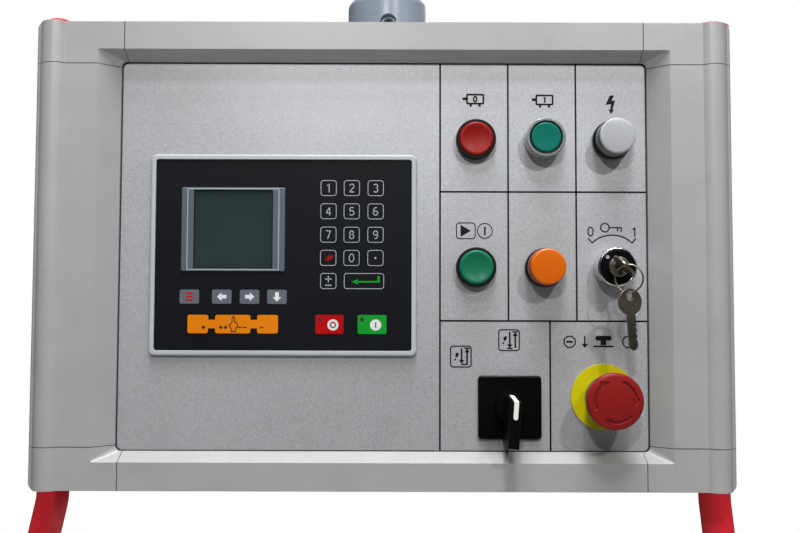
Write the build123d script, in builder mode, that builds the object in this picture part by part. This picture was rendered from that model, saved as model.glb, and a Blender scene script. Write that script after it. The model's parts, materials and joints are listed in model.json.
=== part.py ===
# Operator's control pendant of a press brake: a framed front panel with its
# switches, an instrument case behind it, two grab handles and a swivel coupling
# by which the whole thing hangs from an arm tube.
# Millimetres.  +X is the operator's right, -Y faces the operator, +Z is up.
# The origin is the middle of the arm socket's mouth, on the arm tube's axis.
import math
import os

from build123d import *

# ---------------------------------------------------------------- driving sizes
running_fit = 0.05          # radial, turning and sliding metal fits
free_gap = 0.3              # radial, moulded pieces that move in each other
screw_gap = 0.25            # radial, screws in their holes
touch_gap = 0.1             # between pieces that are pushed together

# front frame
frame_width = 520.0
frame_height = 348.0
frame_depth = 46.0
face_width = 428.0          # opening at the flat front face
face_height = 306.5
opening_width = 398.8       # opening at the foot of the bevel
opening_height = 293.6
bevel_depth = 12.6
lip_thickness = 2.0
rebate_margin = 7.0         # how far the rebate reaches behind the lip
crown_width = 21.3          # rounded outer band of each upright
crown_height = 4.0
frame_edge_radius = 3.0
outer_corner = 7.0          # corners of the frame, seen from the front
frame_wall = 4.0
seam_inside_x = 5.4           # the corner joints meet just inside the opening's edges
seam_inside_z = 4.5
spigot_length = 16.0

# panel
panel_gasket_thickness = 0.8
panel_gasket_peek = 0.8     # how far the gasket shows inside the lip
panel_thickness = 3.0
panel_clip_size = 14.0
panel_clip_thickness = 3.0
column_pitch = 51.6         # switch columns
row_pitch = 96.7            # switch rows

# rear case
case_width = 444.0
case_height = 346.0
case_depth = 92.0
case_wall = 3.0
flange_width = 482.0
rear_opening_width = 400.0
rear_opening_height = 290.0
cover_overlap = 14.0
cover_thickness = 2.5
cover_gasket_thickness = 1.5
cable_hole_radius = 20.0

# swivel coupling
coupling_offset = 2.4       # arm axis to the right of the pendant's middle
coupling_setback = 92.5     # arm axis behind the flat front face
coupling_gasket_thickness = 2.0
flange_radius = 45.0
flange_thickness = 7.0
drum_radius = 34.0
drum_height = 43.0
drum_rim_radius = 6.0
swivel_radius = 25.0
swivel_gap = 0.4            # axial play of the swivel
socket_radius = 29.0
socket_height = 68.0
arm_bore_radius = 24.2
arm_bore_length = 52.0
arm_cable_radius = 15.0
clamp_slit = 2.0
clamp_lug_width = 26.0
clamp_lug_reach = 10.0

# handles
tube_radius = 12.5
tube_wall = 2.0
tube_offset = 266.0         # tube axis from the pendant's middle
tube_setback = 72.0         # tube axis behind the flat front face
tube_top = 192.5            # above the pendant's middle
tube_bottom = 285.0         # below the pendant's middle
tube_top_splay = 4.5
tube_splay_left = 10.0
tube_splay_right = 5.0
cap_crown = 4.0
bracket_height = 30.0
bracket_depth = 26.0
bracket_rise = 135.0        # bracket above and below the pendant's middle
bracket_wall = 3.5

# controller
bezel_width = 200.4
bezel_height = 151.6
bezel_border = 3.8
bezel_thickness = 4.4
overlay_thickness = 3.2
controller_offset = -75.2   # controller's middle from the pendant's middle
lcd_frame_width = 78.0
lcd_frame_height = 63.2
lcd_offset = -37.8          # display's middle from the controller's middle
lcd_rise = 19.0
lcd_frame_thickness = 1.6
window_size = 59.4
window_thickness = 1.4
cutout_width = 186.0
cutout_height = 138.0
housing_depth = 46.0
housing_wall = 2.0

# 22 mm control devices
device_hole_radius = 11.2
device_barrel_radius = 10.8
device_barrel_length = 13.0
device_nut_radius = 14.5
device_nut_thickness = 4.0
block_size = 29.0
block_depth = 34.0
bezel_radius = 15.0
button_bezel_height = 8.0
button_cap_radius = 12.9
button_proud = 1.6
button_stem_radius = 5.0
button_travel = 4.0
lit_collar_radius = 14.8
lit_collar_height = 15.0
lit_cap_radius = 12.2
lamp_base_radius = 14.8
lamp_base_height = 6.5
lens_radius = 13.8
lens_height = 23.0

# key switch
lock_bezel_radius = 14.5
lock_bezel_height = 18.0
lock_face_radius = 12.9
lock_barrel_radius = 7.4
lock_barrel_height = 24.0
lock_barrel_depth = 22.0
key_thickness = 1.8
key_bow_radius = 9.5
key_blade_width = 6.8
key_blade_length = 24.0
key_shoulder_gap = 3.0
key_hole_inset = 5.0
key_hole_radius = 2.5
ring_radius = 9.8
ring_wire = 0.6
ring_tilt = 15.0            # degrees, where the key sits on the ring
ring_yaw = -20.0            # degrees about the vertical
spare_yaw = 20.0
spare_lean = 5.0            # degrees, its tip swung to the right
spare_hole_length = 7.2
spare_hole_width = 5.0
spare_drop = 2.4

# selector
selector_plate_size = 47.4
selector_plate_thickness = 4.0
selector_radius = 11.6
selector_base_height = 9.0
selector_grip_height = 41.0
selector_grip_below = 26.0
selector_grip_above = 7.6
selector_foot_height = 6.0    # where the grip leaves the round base
selector_foot_above = 9.8
selector_foot_below = 25.2
selector_foot_width = 8.4
selector_top_width = 6.8      # front face, at its upper end
selector_end_width = 8.3      # front face, at its lower end
selector_lean = -4.0        # degrees, the grip rests a little past upright
selector_shaft_radius = 3.5
selector_body_size = 42.0
selector_body_depth = 58.0

# emergency stop
disc_radius = 24.6
disc_thickness = 1.2
estop_collar_radius = 17.0
estop_neck_radius = 13.6
estop_neck_height = 12.5
estop_collar_height = 21.0
estop_stem_radius = 8.0
estop_head_radius = 20.4
estop_head_height = 42.0
estop_head_thickness = 15.0
estop_head_skirt = 7.0        # tapered back of the head
estop_head_draw = 3.2
estop_crown = 3.0

# screws
m4, m5, m6, m8 = 2.0, 2.5, 3.0, 4.0     # radii
m4_head, m5_head, m6_head = 4.0, 4.2, 5.0
cover_head_height, m5_head_height, m6_head_height = 2.6, 4.0, 6.0
coupling_circle = 39.5      # radius on which the coupling screws stand
bracket_screw_length = 16.0
bracket_nut_radius = 5.6
bracket_nut_height = 4.0
bracket_hole_pitch = 18.0
lock_pocket_radius = 6.6
lock_screw_rise = 18.0
clamp_screw_levels = (-14.0, -38.0)     # below the socket's mouth
clamp_screw_offset = 32.6   # from the arm's axis

# ---------------------------------------------------------------- derived places
coupling_height = (coupling_gasket_thickness + drum_height + swivel_gap + socket_height)
middle_x = -coupling_offset
middle_z = -(coupling_height + case_height / 2)
face_y = -coupling_setback
lip_back = bevel_depth + lip_thickness
panel_setback = lip_back + panel_gasket_thickness
panel_back = panel_setback + panel_thickness
opening_corner = 4.0

half_width = frame_width / 2
half_height = frame_height / 2
rebate_width = opening_width + 2 * rebate_margin
rebate_height = opening_height + 2 * rebate_margin

# the front plane stands on the flat face, its z pointing at the operator
face = Plane(origin=(middle_x, face_y, middle_z), x_dir=(1, 0, 0), z_dir=(0, -1, 0))
panel = face.offset(-panel_setback)
behind_panel = face.offset(-panel_back)
case_front = face.offset(-frame_depth)
case_back = case_front.offset(-case_depth)
coupling_foot = Plane.XY.offset(middle_z + case_height / 2)
drum_foot = coupling_foot.offset(coupling_gasket_thickness)
drum_top = drum_foot.offset(drum_height)
socket_foot = drum_top.offset(swivel_gap)

first_column = opening_width / 2 - panel_gasket_peek - 2.5 * column_pitch
columns = [first_column + column_pitch * n for n in range(3)]
button_row = row_pitch - 9.0
start_row = -9.2
stop_place = (165.4, -106.0)
selector_place = (94.8, -113.8)
red_place = (columns[0], button_row)
lit_place = (columns[1], button_row)
white_place = (columns[2], button_row)
start_place = (columns[0], start_row)
amber_place = (columns[1], start_row)
lock_place = (columns[2], start_row)
small_places = [red_place, lit_place, white_place, start_place, amber_place, lock_place,
                stop_place]

os.makedirs("parts", exist_ok=True)


def save(builder, name):
    """Label one finished piece and write it to its own file."""
    builder.part.label = name
    export_step(builder.part, f"parts/{name}.step")


def signs():
    """The four quarters, as pairs of signs."""
    return [(a, b) for a in (-1, 1) for b in (-1, 1)]


# ---------------------------------------------------------------- front frame
# One section runs right across: flat face, a crowned band at each upright and
# a small round at the outer edge.  The eight frame pieces are cut out of it.
with BuildPart() as frame_blank:
    with BuildSketch(Plane(origin=(middle_x, face_y, middle_z - half_height))):
        with BuildLine():
            crease = half_width - crown_width
            edge = half_width - frame_edge_radius
            shoulder_depth = 1.2 + frame_edge_radius
            Polyline((0, frame_depth), (half_width, frame_depth), (half_width, shoulder_depth))
            RadiusArc((half_width, shoulder_depth), (edge, 1.2), frame_edge_radius)
            ThreePointArc((edge, 1.2), ((crease + edge) / 2, -crown_height), (crease, 0))
            Line((crease, 0), (0, 0))
            mirror(about=Plane.YZ)
        make_face()
    extrude(amount=frame_height)
    with BuildSketch(face.offset(2 * crown_height)):
        RectangleRounded(frame_width, frame_height, outer_corner)
    extrude(amount=-frame_depth - 3 * crown_height, mode=Mode.INTERSECT)

bevel_slope_x = (face_width - opening_width) / 2 / bevel_depth
bevel_slope_z = (face_height - opening_height) / 2 / bevel_depth
with BuildPart() as frame_void:
    with BuildSketch(face.offset(2 * crown_height)):
        RectangleRounded(face_width + 4 * crown_height * bevel_slope_x,
                         face_height + 4 * crown_height * bevel_slope_z, 0.4)
    with BuildSketch(face.offset(-bevel_depth)):
        RectangleRounded(opening_width, opening_height, opening_corner)
    loft()
    with BuildSketch(face.offset(-bevel_depth)):
        RectangleRounded(opening_width, opening_height, opening_corner)
    extrude(amount=-lip_thickness)
    with BuildSketch(face.offset(-lip_back)):
        Rectangle(rebate_width, rebate_height)
    extrude(amount=lip_back - frame_depth)

stile_chamber_in = face_width / 2 + 3
stile_chamber_out = half_width - frame_wall
rail_chamber_in = rebate_height / 2 + frame_wall
rail_chamber_out = half_height - frame_wall
chamber_front = frame_wall + 1
chamber_depth = frame_depth - 2 * frame_wall - 1
seam_x = opening_width / 2 - seam_inside_x
seam_z = opening_height / 2 - seam_inside_z
seam_overrun = 2.3            # cutting boxes reach this far into the opening


def box_between(low_u, high_u, low_w, high_w, front, depth):
    """Box from face depth front, between two places across and up the frame."""
    spot = face.location * Location(((low_u + high_u) / 2, (low_w + high_w) / 2, -front))
    return spot * Box(high_u - low_u, high_w - low_w, depth,
                      align=(Align.CENTER, Align.CENTER, Align.MAX), mode=Mode.PRIVATE)


stile_screws = [(side * 232.0, rise) for side in (-1, 1) for rise in (-120, -45, 45, 120)]
rail_screws = [(across, side * 162.5) for side in (-1, 1) for across in (-120, 0, 120)]
flange_screws = stile_screws + rail_screws


def frame_piece(name, low_u, high_u, low_w, high_w, chamber, spigots):
    """Cut one frame piece from the section, with its hollow, tongues and tapped holes."""
    with BuildPart() as piece:
        add(frame_blank.part)
        add(box_between(low_u, high_u, low_w, high_w, -2 * crown_height, frame_depth + 3 * crown_height),
            mode=Mode.INTERSECT)
        add(frame_void.part, mode=Mode.SUBTRACT)
        if chamber:
            add(box_between(*chamber, chamber_front, chamber_depth), mode=Mode.SUBTRACT)
        for tongue in spigots:
            add(box_between(*tongue, chamber_front + touch_gap, chamber_depth - 2 * touch_gap))
        tapped = [p for p in flange_screws if low_u < p[0] < high_u and low_w < p[1] < high_w]
        if tapped:
            with BuildSketch(case_front):
                with Locations(*tapped):
                    Circle(m5 + screw_gap / 2)
            extrude(amount=frame_wall * 2, mode=Mode.SUBTRACT)
    save(piece, name)


for side, word in ((-1, "left"), (1, "right")):
    u_range = sorted((side * half_width, side * (seam_x - seam_overrun)))
    hollow = sorted((side * stile_chamber_in, side * stile_chamber_out))
    frame_piece(f"frame_{word}_stile", *u_range, -seam_z, seam_z,
                (*hollow, -seam_z, seam_z), [])
for side, word in ((-1, "bottom"), (1, "top")):
    w_range = sorted((side * half_height, side * (seam_z - seam_overrun)))
    hollow = sorted((side * rail_chamber_in, side * rail_chamber_out))
    frame_piece(f"frame_{word}_rail", -seam_x, seam_x, *w_range,
                (-seam_x, seam_x, *hollow), [])
for (u_side, w_side) in signs():
    name = "corner_" + ("top" if w_side > 0 else "bottom") + ("_right" if u_side > 0 else "_left")
    stile_tongue = (*sorted((u_side * (stile_chamber_in + touch_gap),
                             u_side * (stile_chamber_out - touch_gap))),
                    *sorted((w_side * (seam_z - spigot_length), w_side * (seam_z + 1))))
    rail_tongue = (*sorted((u_side * (seam_x - spigot_length), u_side * (seam_x + 1))),
                   *sorted((w_side * (rail_chamber_in + touch_gap),
                            w_side * (rail_chamber_out - touch_gap))))
    frame_piece(name, *sorted((u_side * seam_x, u_side * (half_width + 1))),
                *sorted((w_side * seam_z, w_side * (half_height + 1))), None, [stile_tongue, rail_tongue])

# ---------------------------------------------------------------- gasket and panel
with BuildPart() as panel_gasket:
    with BuildSketch(face.offset(-lip_back)):
        Rectangle(rebate_width - 1, rebate_height - 1)
        RectangleRounded(opening_width - 2 * panel_gasket_peek, opening_height - 2 * panel_gasket_peek,
                         opening_corner, mode=Mode.SUBTRACT)
    extrude(amount=-panel_gasket_thickness)
save(panel_gasket, "panel_gasket")

controller_place = (controller_offset, 0)
with BuildPart() as front_panel:
    with BuildSketch(panel):
        Rectangle(rebate_width - 1, rebate_height - 1)
        with Locations(controller_place):
            Rectangle(cutout_width, cutout_height, mode=Mode.SUBTRACT)
        with Locations(*small_places):
            Circle(device_hole_radius, mode=Mode.SUBTRACT)
        with Locations(selector_place):
            Circle(selector_shaft_radius + 2, mode=Mode.SUBTRACT)
            with GridLocations(36, 36, 2, 2):
                Circle(m4 + screw_gap, mode=Mode.SUBTRACT)
    extrude(amount=-panel_thickness)
save(front_panel, "front_panel")

# small L-shaped clips screwed inside the frame press the panel on its gasket
clip_places = [(side * (rebate_width / 2 - panel_clip_size / 2 - touch_gap), rise)
               for side in (-1, 1) for rise in (-100, 0, 100)]
clip_places += [(across, side * (rebate_height / 2 - panel_clip_size / 2 - touch_gap))
                for side in (-1, 1) for across in (-150, 150)]
with BuildPart() as panel_clips:
    with BuildSketch(behind_panel):
        with Locations(*clip_places):
            Rectangle(panel_clip_size, panel_clip_size)
    extrude(amount=-panel_clip_thickness)
    foot = frame_depth - panel_back
    with BuildSketch(behind_panel):
        for (u, w) in clip_places:
            upright = abs(u) > rebate_width / 2 - panel_clip_size
            shift = (panel_clip_size - panel_clip_thickness) / 2
            spot = (u + math.copysign(shift, u), w) if upright else (u, w + math.copysign(shift, w))
            with Locations(spot):
                Rectangle(panel_clip_thickness if upright else panel_clip_size,
                          panel_clip_size if upright else panel_clip_thickness)
    extrude(amount=-foot + 4)
save(panel_clips, "panel_clips")

# ---------------------------------------------------------------- rear case
cover_screws = [(a * (rear_opening_width / 2 + cover_overlap / 2), rise)
                for a in (-1, 1) for rise in (-130, 0, 130)]
cover_screws += [(across, a * (rear_opening_height / 2 + cover_overlap / 2))
                 for a in (-1, 1) for across in (-100, 100)]
bracket_bolts = [(side, rise * bracket_rise + up) for side in (-1, 1) for rise in (-1, 1) 
                 for up in (-bracket_hole_pitch / 2, bracket_hole_pitch / 2)]
with BuildPart() as case_shell:
    with BuildSketch(case_front):
        Rectangle(flange_width, case_height)
    extrude(amount=-case_wall)
    with BuildSketch(case_front):
        RectangleRounded(case_width, case_height, 6)
    extrude(amount=-case_depth)
    with BuildSketch(case_front.offset(-case_wall)):
        RectangleRounded(case_width - 2 * case_wall, case_height - 2 * case_wall, 4)
    extrude(amount=2 * case_wall - case_depth, mode=Mode.SUBTRACT)
    with BuildSketch(case_front):
        Rectangle(rebate_width, rebate_height)
        with Locations(*flange_screws):
            Circle(m5 + screw_gap)
    extrude(amount=-case_wall, mode=Mode.SUBTRACT)
    with BuildSketch(case_back):
        Rectangle(rear_opening_width, rear_opening_height)
        with Locations(*cover_screws):
            Circle(m4 + screw_gap)
    extrude(amount=case_wall, mode=Mode.SUBTRACT)
    with BuildSketch(coupling_foot):
        Circle(cable_hole_radius)
        with PolarLocations(coupling_circle, 4, 45):
            Circle(m6 + screw_gap)
    extrude(amount=-case_wall, mode=Mode.SUBTRACT)
    with BuildSketch(Plane.YZ.offset(middle_x - case_width / 2)):
        with Locations(*[(face_y + tube_setback, middle_z + rise)
                         for side, rise in bracket_bolts if side < 0]):
            Circle(m6 + screw_gap)
    extrude(amount=case_width, mode=Mode.SUBTRACT)
save(case_shell, "case_shell")


def screw_set(name, plane, places, radius, shank, head_radius, head, socket=True):
    """Cap screws whose heads sit on plane, shanks running backwards from it."""
    with BuildPart() as screws:
        with BuildSketch(plane):
            with Locations(*places):
                Circle(radius)
        extrude(amount=-shank)
        with BuildSketch(plane):
            with Locations(*places):
                Circle(head_radius)
        extrude(amount=head)
        if socket:
            with BuildSketch(plane.offset(head)):
                with Locations(*places):
                    RegularPolygon(head_radius * 0.5, 6)
            extrude(amount=-head * 0.6, mode=Mode.SUBTRACT)
    save(screws, name)


inside_case = Plane(origin=(middle_x, face_y + frame_depth + case_wall, middle_z), x_dir=(-1, 0, 0),
                    z_dir=(0, 1, 0))
outside_back = Plane(origin=(middle_x, face_y + frame_depth + case_depth, middle_z), x_dir=(-1, 0, 0),
                     z_dir=(0, 1, 0))
screw_set("frame_screws", inside_case, [(-u, w) for u, w in flange_screws], m5,
          case_wall + frame_wall * 2 - 1, m5_head, m5_head_height)

with BuildPart() as rear_cover_gasket:
    with BuildSketch(outside_back):
        Rectangle(rear_opening_width + 2 * cover_overlap, rear_opening_height + 2 * cover_overlap)
        Rectangle(rear_opening_width, rear_opening_height, mode=Mode.SUBTRACT)
        with Locations(*cover_screws):
            Circle(m4 + screw_gap, mode=Mode.SUBTRACT)
    extrude(amount=cover_gasket_thickness)
save(rear_cover_gasket, "rear_cover_gasket")

cover_inner = outside_back.offset(cover_gasket_thickness)
with BuildPart() as rear_cover:
    with BuildSketch(cover_inner):
        RectangleRounded(rear_opening_width + 2 * cover_overlap, rear_opening_height + 2 * cover_overlap, 5)
        with Locations(*cover_screws):
            Circle(m4 + screw_gap, mode=Mode.SUBTRACT)
    extrude(amount=cover_thickness)
    chamfer(rear_cover.faces().sort_by(Axis.Y)[-1].outer_wire().edges(), 0.8)
save(rear_cover, "rear_cover")
screw_set("rear_cover_screws", cover_inner.offset(cover_thickness), cover_screws, m4,
          cover_thickness + cover_gasket_thickness + case_wall + 3, m4_head, cover_head_height)

# ---------------------------------------------------------------- swivel coupling
with BuildPart() as coupling_gasket:
    with BuildSketch(coupling_foot):
        Circle(flange_radius)
        Circle(swivel_radius + 7, mode=Mode.SUBTRACT)
        with PolarLocations(coupling_circle, 4, 45):
            Circle(m6 + screw_gap, mode=Mode.SUBTRACT)
    extrude(amount=coupling_gasket_thickness)
save(coupling_gasket, "coupling_gasket")

ring_recess = 5.0
with BuildPart() as coupling_drum:
    with BuildSketch(drum_foot):
        Circle(flange_radius)
    extrude(amount=flange_thickness)
    with BuildSketch(drum_foot):
        Circle(drum_radius)
    extrude(amount=drum_height)
    fillet(coupling_drum.faces().sort_by(Axis.Z)[-1].edges(), drum_rim_radius)
    with BuildSketch(drum_foot):
        Circle(swivel_radius + running_fit)
    extrude(amount=drum_height, mode=Mode.SUBTRACT)
    with BuildSketch(drum_foot):
        Circle(swivel_radius + 6)
    extrude(amount=ring_recess, mode=Mode.SUBTRACT)
    with BuildSketch(drum_foot):
        with PolarLocations(coupling_circle, 4, 45):
            Circle(m6 + screw_gap)
    extrude(amount=flange_thickness, mode=Mode.SUBTRACT)
    with BuildSketch(drum_foot.offset(flange_thickness)):
        with PolarLocations(coupling_circle, 4, 45):
            Circle(m6_head + 0.4)
    extrude(amount=drum_height, mode=Mode.SUBTRACT)
    with BuildSketch(Plane.XZ.offset(drum_radius)):
        with Locations((0, drum_foot.origin.Z + lock_screw_rise)):
            Circle(m8 + touch_gap)
    extrude(amount=-drum_radius, mode=Mode.SUBTRACT)
    with BuildSketch(Plane.XZ.offset(drum_radius)):
        with Locations((0, drum_foot.origin.Z + lock_screw_rise)):
            Circle(lock_pocket_radius)
    extrude(amount=-5, mode=Mode.SUBTRACT)
save(coupling_drum, "coupling_drum")

with BuildPart() as swivel_lock_screw:
    with BuildSketch(Plane.XZ.offset(swivel_radius + free_gap)):
        with Locations((0, drum_foot.origin.Z + lock_screw_rise)):
            Circle(m8)
            RegularPolygon(2.3, 6, mode=Mode.SUBTRACT)
    extrude(amount=drum_radius - swivel_radius - 4.5)
save(swivel_lock_screw, "swivel_lock_screw")

with BuildPart() as coupling_screws:
    with BuildSketch(drum_foot.offset(flange_thickness)):
        with PolarLocations(coupling_circle, 4, 45):
            Circle(m6_head)
    extrude(amount=m6_head_height)
    with BuildSketch(drum_foot.offset(flange_thickness)):
        with PolarLocations(coupling_circle, 4, 45):
            Circle(m6)
    extrude(amount=-flange_thickness - coupling_gasket_thickness - case_wall - 5)
    with BuildSketch(drum_foot.offset(flange_thickness + m6_head_height)):
        with PolarLocations(coupling_circle, 4, 45):
            RegularPolygon(2.6, 6)
    extrude(amount=-3.5, mode=Mode.SUBTRACT)
save(coupling_screws, "coupling_screws")

spigot_end = 1.5            # spigot stops above the gasket's level
groove_floor = swivel_radius - 1.5
ring_thickness = 2.4
socket_top = socket_foot.offset(socket_height)
lug_front = socket_radius * 0.75
with BuildPart() as arm_socket:
    with BuildSketch(drum_foot.offset(spigot_end)):
        Circle(swivel_radius)
    extrude(amount=drum_height - spigot_end + swivel_gap)
    with BuildSketch(drum_foot.offset(spigot_end + 1)):
        Circle(swivel_radius + 1)
        Circle(groove_floor, mode=Mode.SUBTRACT)
    extrude(amount=ring_thickness, mode=Mode.SUBTRACT)
    with BuildSketch(socket_foot):
        Circle(socket_radius)
    extrude(amount=socket_height)
    with BuildSketch(socket_top):
        with Locations((lug_front + clamp_lug_reach / 2, 0)):
            RectangleRounded(lug_front / 2 + clamp_lug_reach, clamp_lug_width, 3)
    extrude(amount=-arm_bore_length + 2)
    fillet(arm_socket.faces().sort_by(Axis.Z)[-1].outer_wire().edges(), 1.5)
    with BuildSketch(socket_top):
        Circle(arm_bore_radius)
    extrude(amount=-arm_bore_length, mode=Mode.SUBTRACT)
    with BuildSketch(socket_top):
        Circle(arm_cable_radius)
    extrude(amount=-socket_height - drum_height - 5, mode=Mode.SUBTRACT)
    with BuildSketch(socket_top):
        with Locations((socket_radius, 0)):
            Rectangle(2 * socket_radius, clamp_slit)
    extrude(amount=-arm_bore_length + 0.1, mode=Mode.SUBTRACT)
    with BuildSketch(Plane.XZ.offset(clamp_lug_width)):
        with Locations(*[(clamp_screw_offset, level) for level in clamp_screw_levels]):
            Circle(m5 + screw_gap)
    extrude(amount=-2 * clamp_lug_width, mode=Mode.SUBTRACT)
save(arm_socket, "arm_socket")

with BuildPart() as retaining_ring:
    with BuildSketch(drum_foot.offset(spigot_end + 1 + touch_gap)):
        Circle(swivel_radius + 5)
        Circle(groove_floor + touch_gap, mode=Mode.SUBTRACT)
        with Locations((0, groove_floor)):
            Rectangle(6, 20, mode=Mode.SUBTRACT)
    extrude(amount=ring_thickness - 2 * touch_gap)
save(retaining_ring, "retaining_ring")

with BuildPart() as arm_clamp_screws:
    for level in clamp_screw_levels:
        with BuildSketch(Plane.XZ.offset(clamp_lug_width / 2)):
            with Locations((clamp_screw_offset, level)):
                Circle(m5_head)
                RegularPolygon(2.2, 6, mode=Mode.SUBTRACT)
        extrude(amount=4.5)
        with BuildSketch(Plane.XZ.offset(clamp_lug_width / 2 + 1)):
            with Locations((clamp_screw_offset, level)):
                Circle(m5)
        extrude(amount=-clamp_lug_width - 1)
save(arm_clamp_screws, "arm_clamp_screws")

# ---------------------------------------------------------------- grab handles
tube_plane = face.offset(-tube_setback)
sides = ((-1, "left", tube_splay_left), (1, "right", tube_splay_right))
routes = []
for side, word, splay in sides:
    axis_x = side * tube_offset
    path_points = [(axis_x + side * tube_top_splay, tube_top),
                   (axis_x, tube_top - 40),
                   (axis_x, -192),
                   (axis_x + side * splay, -238),
                   (axis_x + side * (splay + 2), -tube_bottom)]
    with BuildPart() as handle:
        with BuildLine(tube_plane) as route:
            FilletPolyline(*path_points, radius=60)
        with BuildSketch(Plane(origin=route.line @ 0, z_dir=route.line % 0)):
            Circle(tube_radius)
            Circle(tube_radius - tube_wall, mode=Mode.SUBTRACT)
        sweep()
    save(handle, f"handle_{word}")
    routes.append(route.line)

# moulded plug in each tube end: a rim on the tube and a shallow domed crown
dome_radius = (tube_radius ** 2 + cap_crown ** 2) / 2 / cap_crown
cap_rim = 1.5
cap_tongue = 14.0
with BuildPart() as handle_caps:
    for line in routes:
        for at, outward in ((0, -1), (1, 1)):
            end = Plane(origin=line @ at, z_dir=(line % at) * outward)
            with Locations(end.location):
                Cylinder(tube_radius, cap_rim, align=(Align.CENTER, Align.CENTER, Align.MIN))
                Cylinder(tube_radius - tube_wall - touch_gap, cap_tongue,
                         align=(Align.CENTER, Align.CENTER, Align.MAX))
            dome = end.offset(cap_rim + cap_crown - dome_radius) * Sphere(dome_radius, mode=Mode.PRIVATE)
            keep = end.offset(cap_rim - touch_gap) * Cylinder(
                tube_radius, cap_crown + 1, align=(Align.CENTER, Align.CENTER, Align.MIN), mode=Mode.PRIVATE)
            add(dome & keep)
save(handle_caps, "handle_caps")

reach = tube_offset - case_width / 2
bracket_foot = 6.0
with BuildPart() as handle_brackets:
    for side, rise in signs():
        with BuildSketch(Plane(origin=(middle_x, face_y + tube_setback,
                                       middle_z + rise * bracket_rise - bracket_height / 2))):
            with Locations((side * (case_width / 2 + reach / 2), 0)):
                Rectangle(reach, bracket_depth - 6)
            with Locations((side * (case_width / 2 + bracket_foot / 2), 0)):
                Rectangle(bracket_foot, bracket_depth + 6)
            with Locations((side * tube_offset, 0)):
                Circle(tube_radius + bracket_wall)
        extrude(amount=bracket_height)
    for side, rise in signs():
        with BuildSketch(Plane(origin=(middle_x, face_y + tube_setback,
                                       middle_z + rise * bracket_rise - bracket_height))):
            with Locations((side * tube_offset, 0)):
                Circle(tube_radius + touch_gap)
        extrude(amount=2 * bracket_height, mode=Mode.SUBTRACT)
    for side in (-1, 1):
        with BuildSketch(Plane.YZ.offset(middle_x + side * (case_width / 2 - 1))):
            with Locations(*[(face_y + tube_setback, middle_z + up)
                             for s, up in bracket_bolts if s == side]):
                Circle(m6 + screw_gap)
        extrude(amount=side * bracket_screw_length, mode=Mode.SUBTRACT)
save(handle_brackets, "handle_brackets")

with BuildPart() as bracket_screws:
    for side in (-1, 1):
        inner_wall = middle_x + side * (case_width / 2 - case_wall)
        spots = [(face_y + tube_setback, middle_z + up) for s, up in bracket_bolts if s == side]
        with BuildSketch(Plane.YZ.offset(inner_wall)):
            with Locations(*spots):
                Circle(m6)
        extrude(amount=side * bracket_screw_length)
        with BuildSketch(Plane.YZ.offset(inner_wall)):
            with Locations(*spots):
                RegularPolygon(bracket_nut_radius, 6)
        extrude(amount=-side * bracket_nut_height)
save(bracket_screws, "bracket_screws")

# ---------------------------------------------------------------- controller
with BuildPart() as controller_bezel:
    with BuildSketch(panel):
        with Locations(controller_place):
            RectangleRounded(bezel_width, bezel_height, 4)
    extrude(amount=bezel_thickness)
    fillet(controller_bezel.faces().sort_by(Axis.Y)[0].edges(), 1.6)
    with BuildSketch(panel):
        with Locations(controller_place):
            RectangleRounded(bezel_width - 2 * bezel_border, bezel_height - 2 * bezel_border, 2)
    extrude(amount=bezel_thickness, mode=Mode.SUBTRACT)
save(controller_bezel, "controller_bezel")

overlay_width = bezel_width - 2 * bezel_border - 2 * touch_gap
overlay_height = bezel_height - 2 * bezel_border - 2 * touch_gap
lcd_place = (controller_offset + lcd_offset, lcd_rise)
with BuildPart() as controller_overlay:
    with BuildSketch(panel):
        with Locations(controller_place):
            RectangleRounded(overlay_width, overlay_height, 1.9)
        with Locations(lcd_place):
            Rectangle(window_size + 2, window_size + 2, mode=Mode.SUBTRACT)
    extrude(amount=overlay_thickness)
save(controller_overlay, "controller_overlay")

with BuildPart() as lcd_frame:
    with BuildSketch(panel.offset(overlay_thickness)):
        with Locations(lcd_place):
            RectangleRounded(lcd_frame_width, lcd_frame_height, 1)
            Rectangle(window_size, window_size, mode=Mode.SUBTRACT)
    extrude(amount=lcd_frame_thickness)
    chamfer(lcd_frame.faces().sort_by(Axis.Y)[0].outer_wire().edges(), 0.5)
save(lcd_frame, "lcd_frame")

with BuildPart() as lcd_window:
    with BuildSketch(panel.offset(overlay_thickness - window_thickness)):
        with Locations(lcd_place):
            Rectangle(window_size + 2 - 2 * touch_gap, window_size + 2 - 2 * touch_gap)
    extrude(amount=window_thickness)
save(lcd_window, "lcd_window")

housing_width = cutout_width - 1
housing_height = cutout_height - 1
with BuildPart() as controller_housing:
    with BuildSketch(panel):
        with Locations(controller_place):
            Rectangle(housing_width, housing_height)
    extrude(amount=-housing_depth)
    with BuildSketch(panel):
        with Locations(controller_place):
            Rectangle(housing_width - 2 * housing_wall, housing_height - 2 * housing_wall)
    extrude(amount=housing_wall - housing_depth, mode=Mode.SUBTRACT)
    with BuildSketch(panel.offset(-housing_depth)):
        with Locations(*[(controller_offset + a, -40) for a in (-55, 0, 55)]):
            Rectangle(42, 12)
    extrude(amount=housing_wall, mode=Mode.SUBTRACT)
save(controller_housing, "controller_housing")

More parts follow.
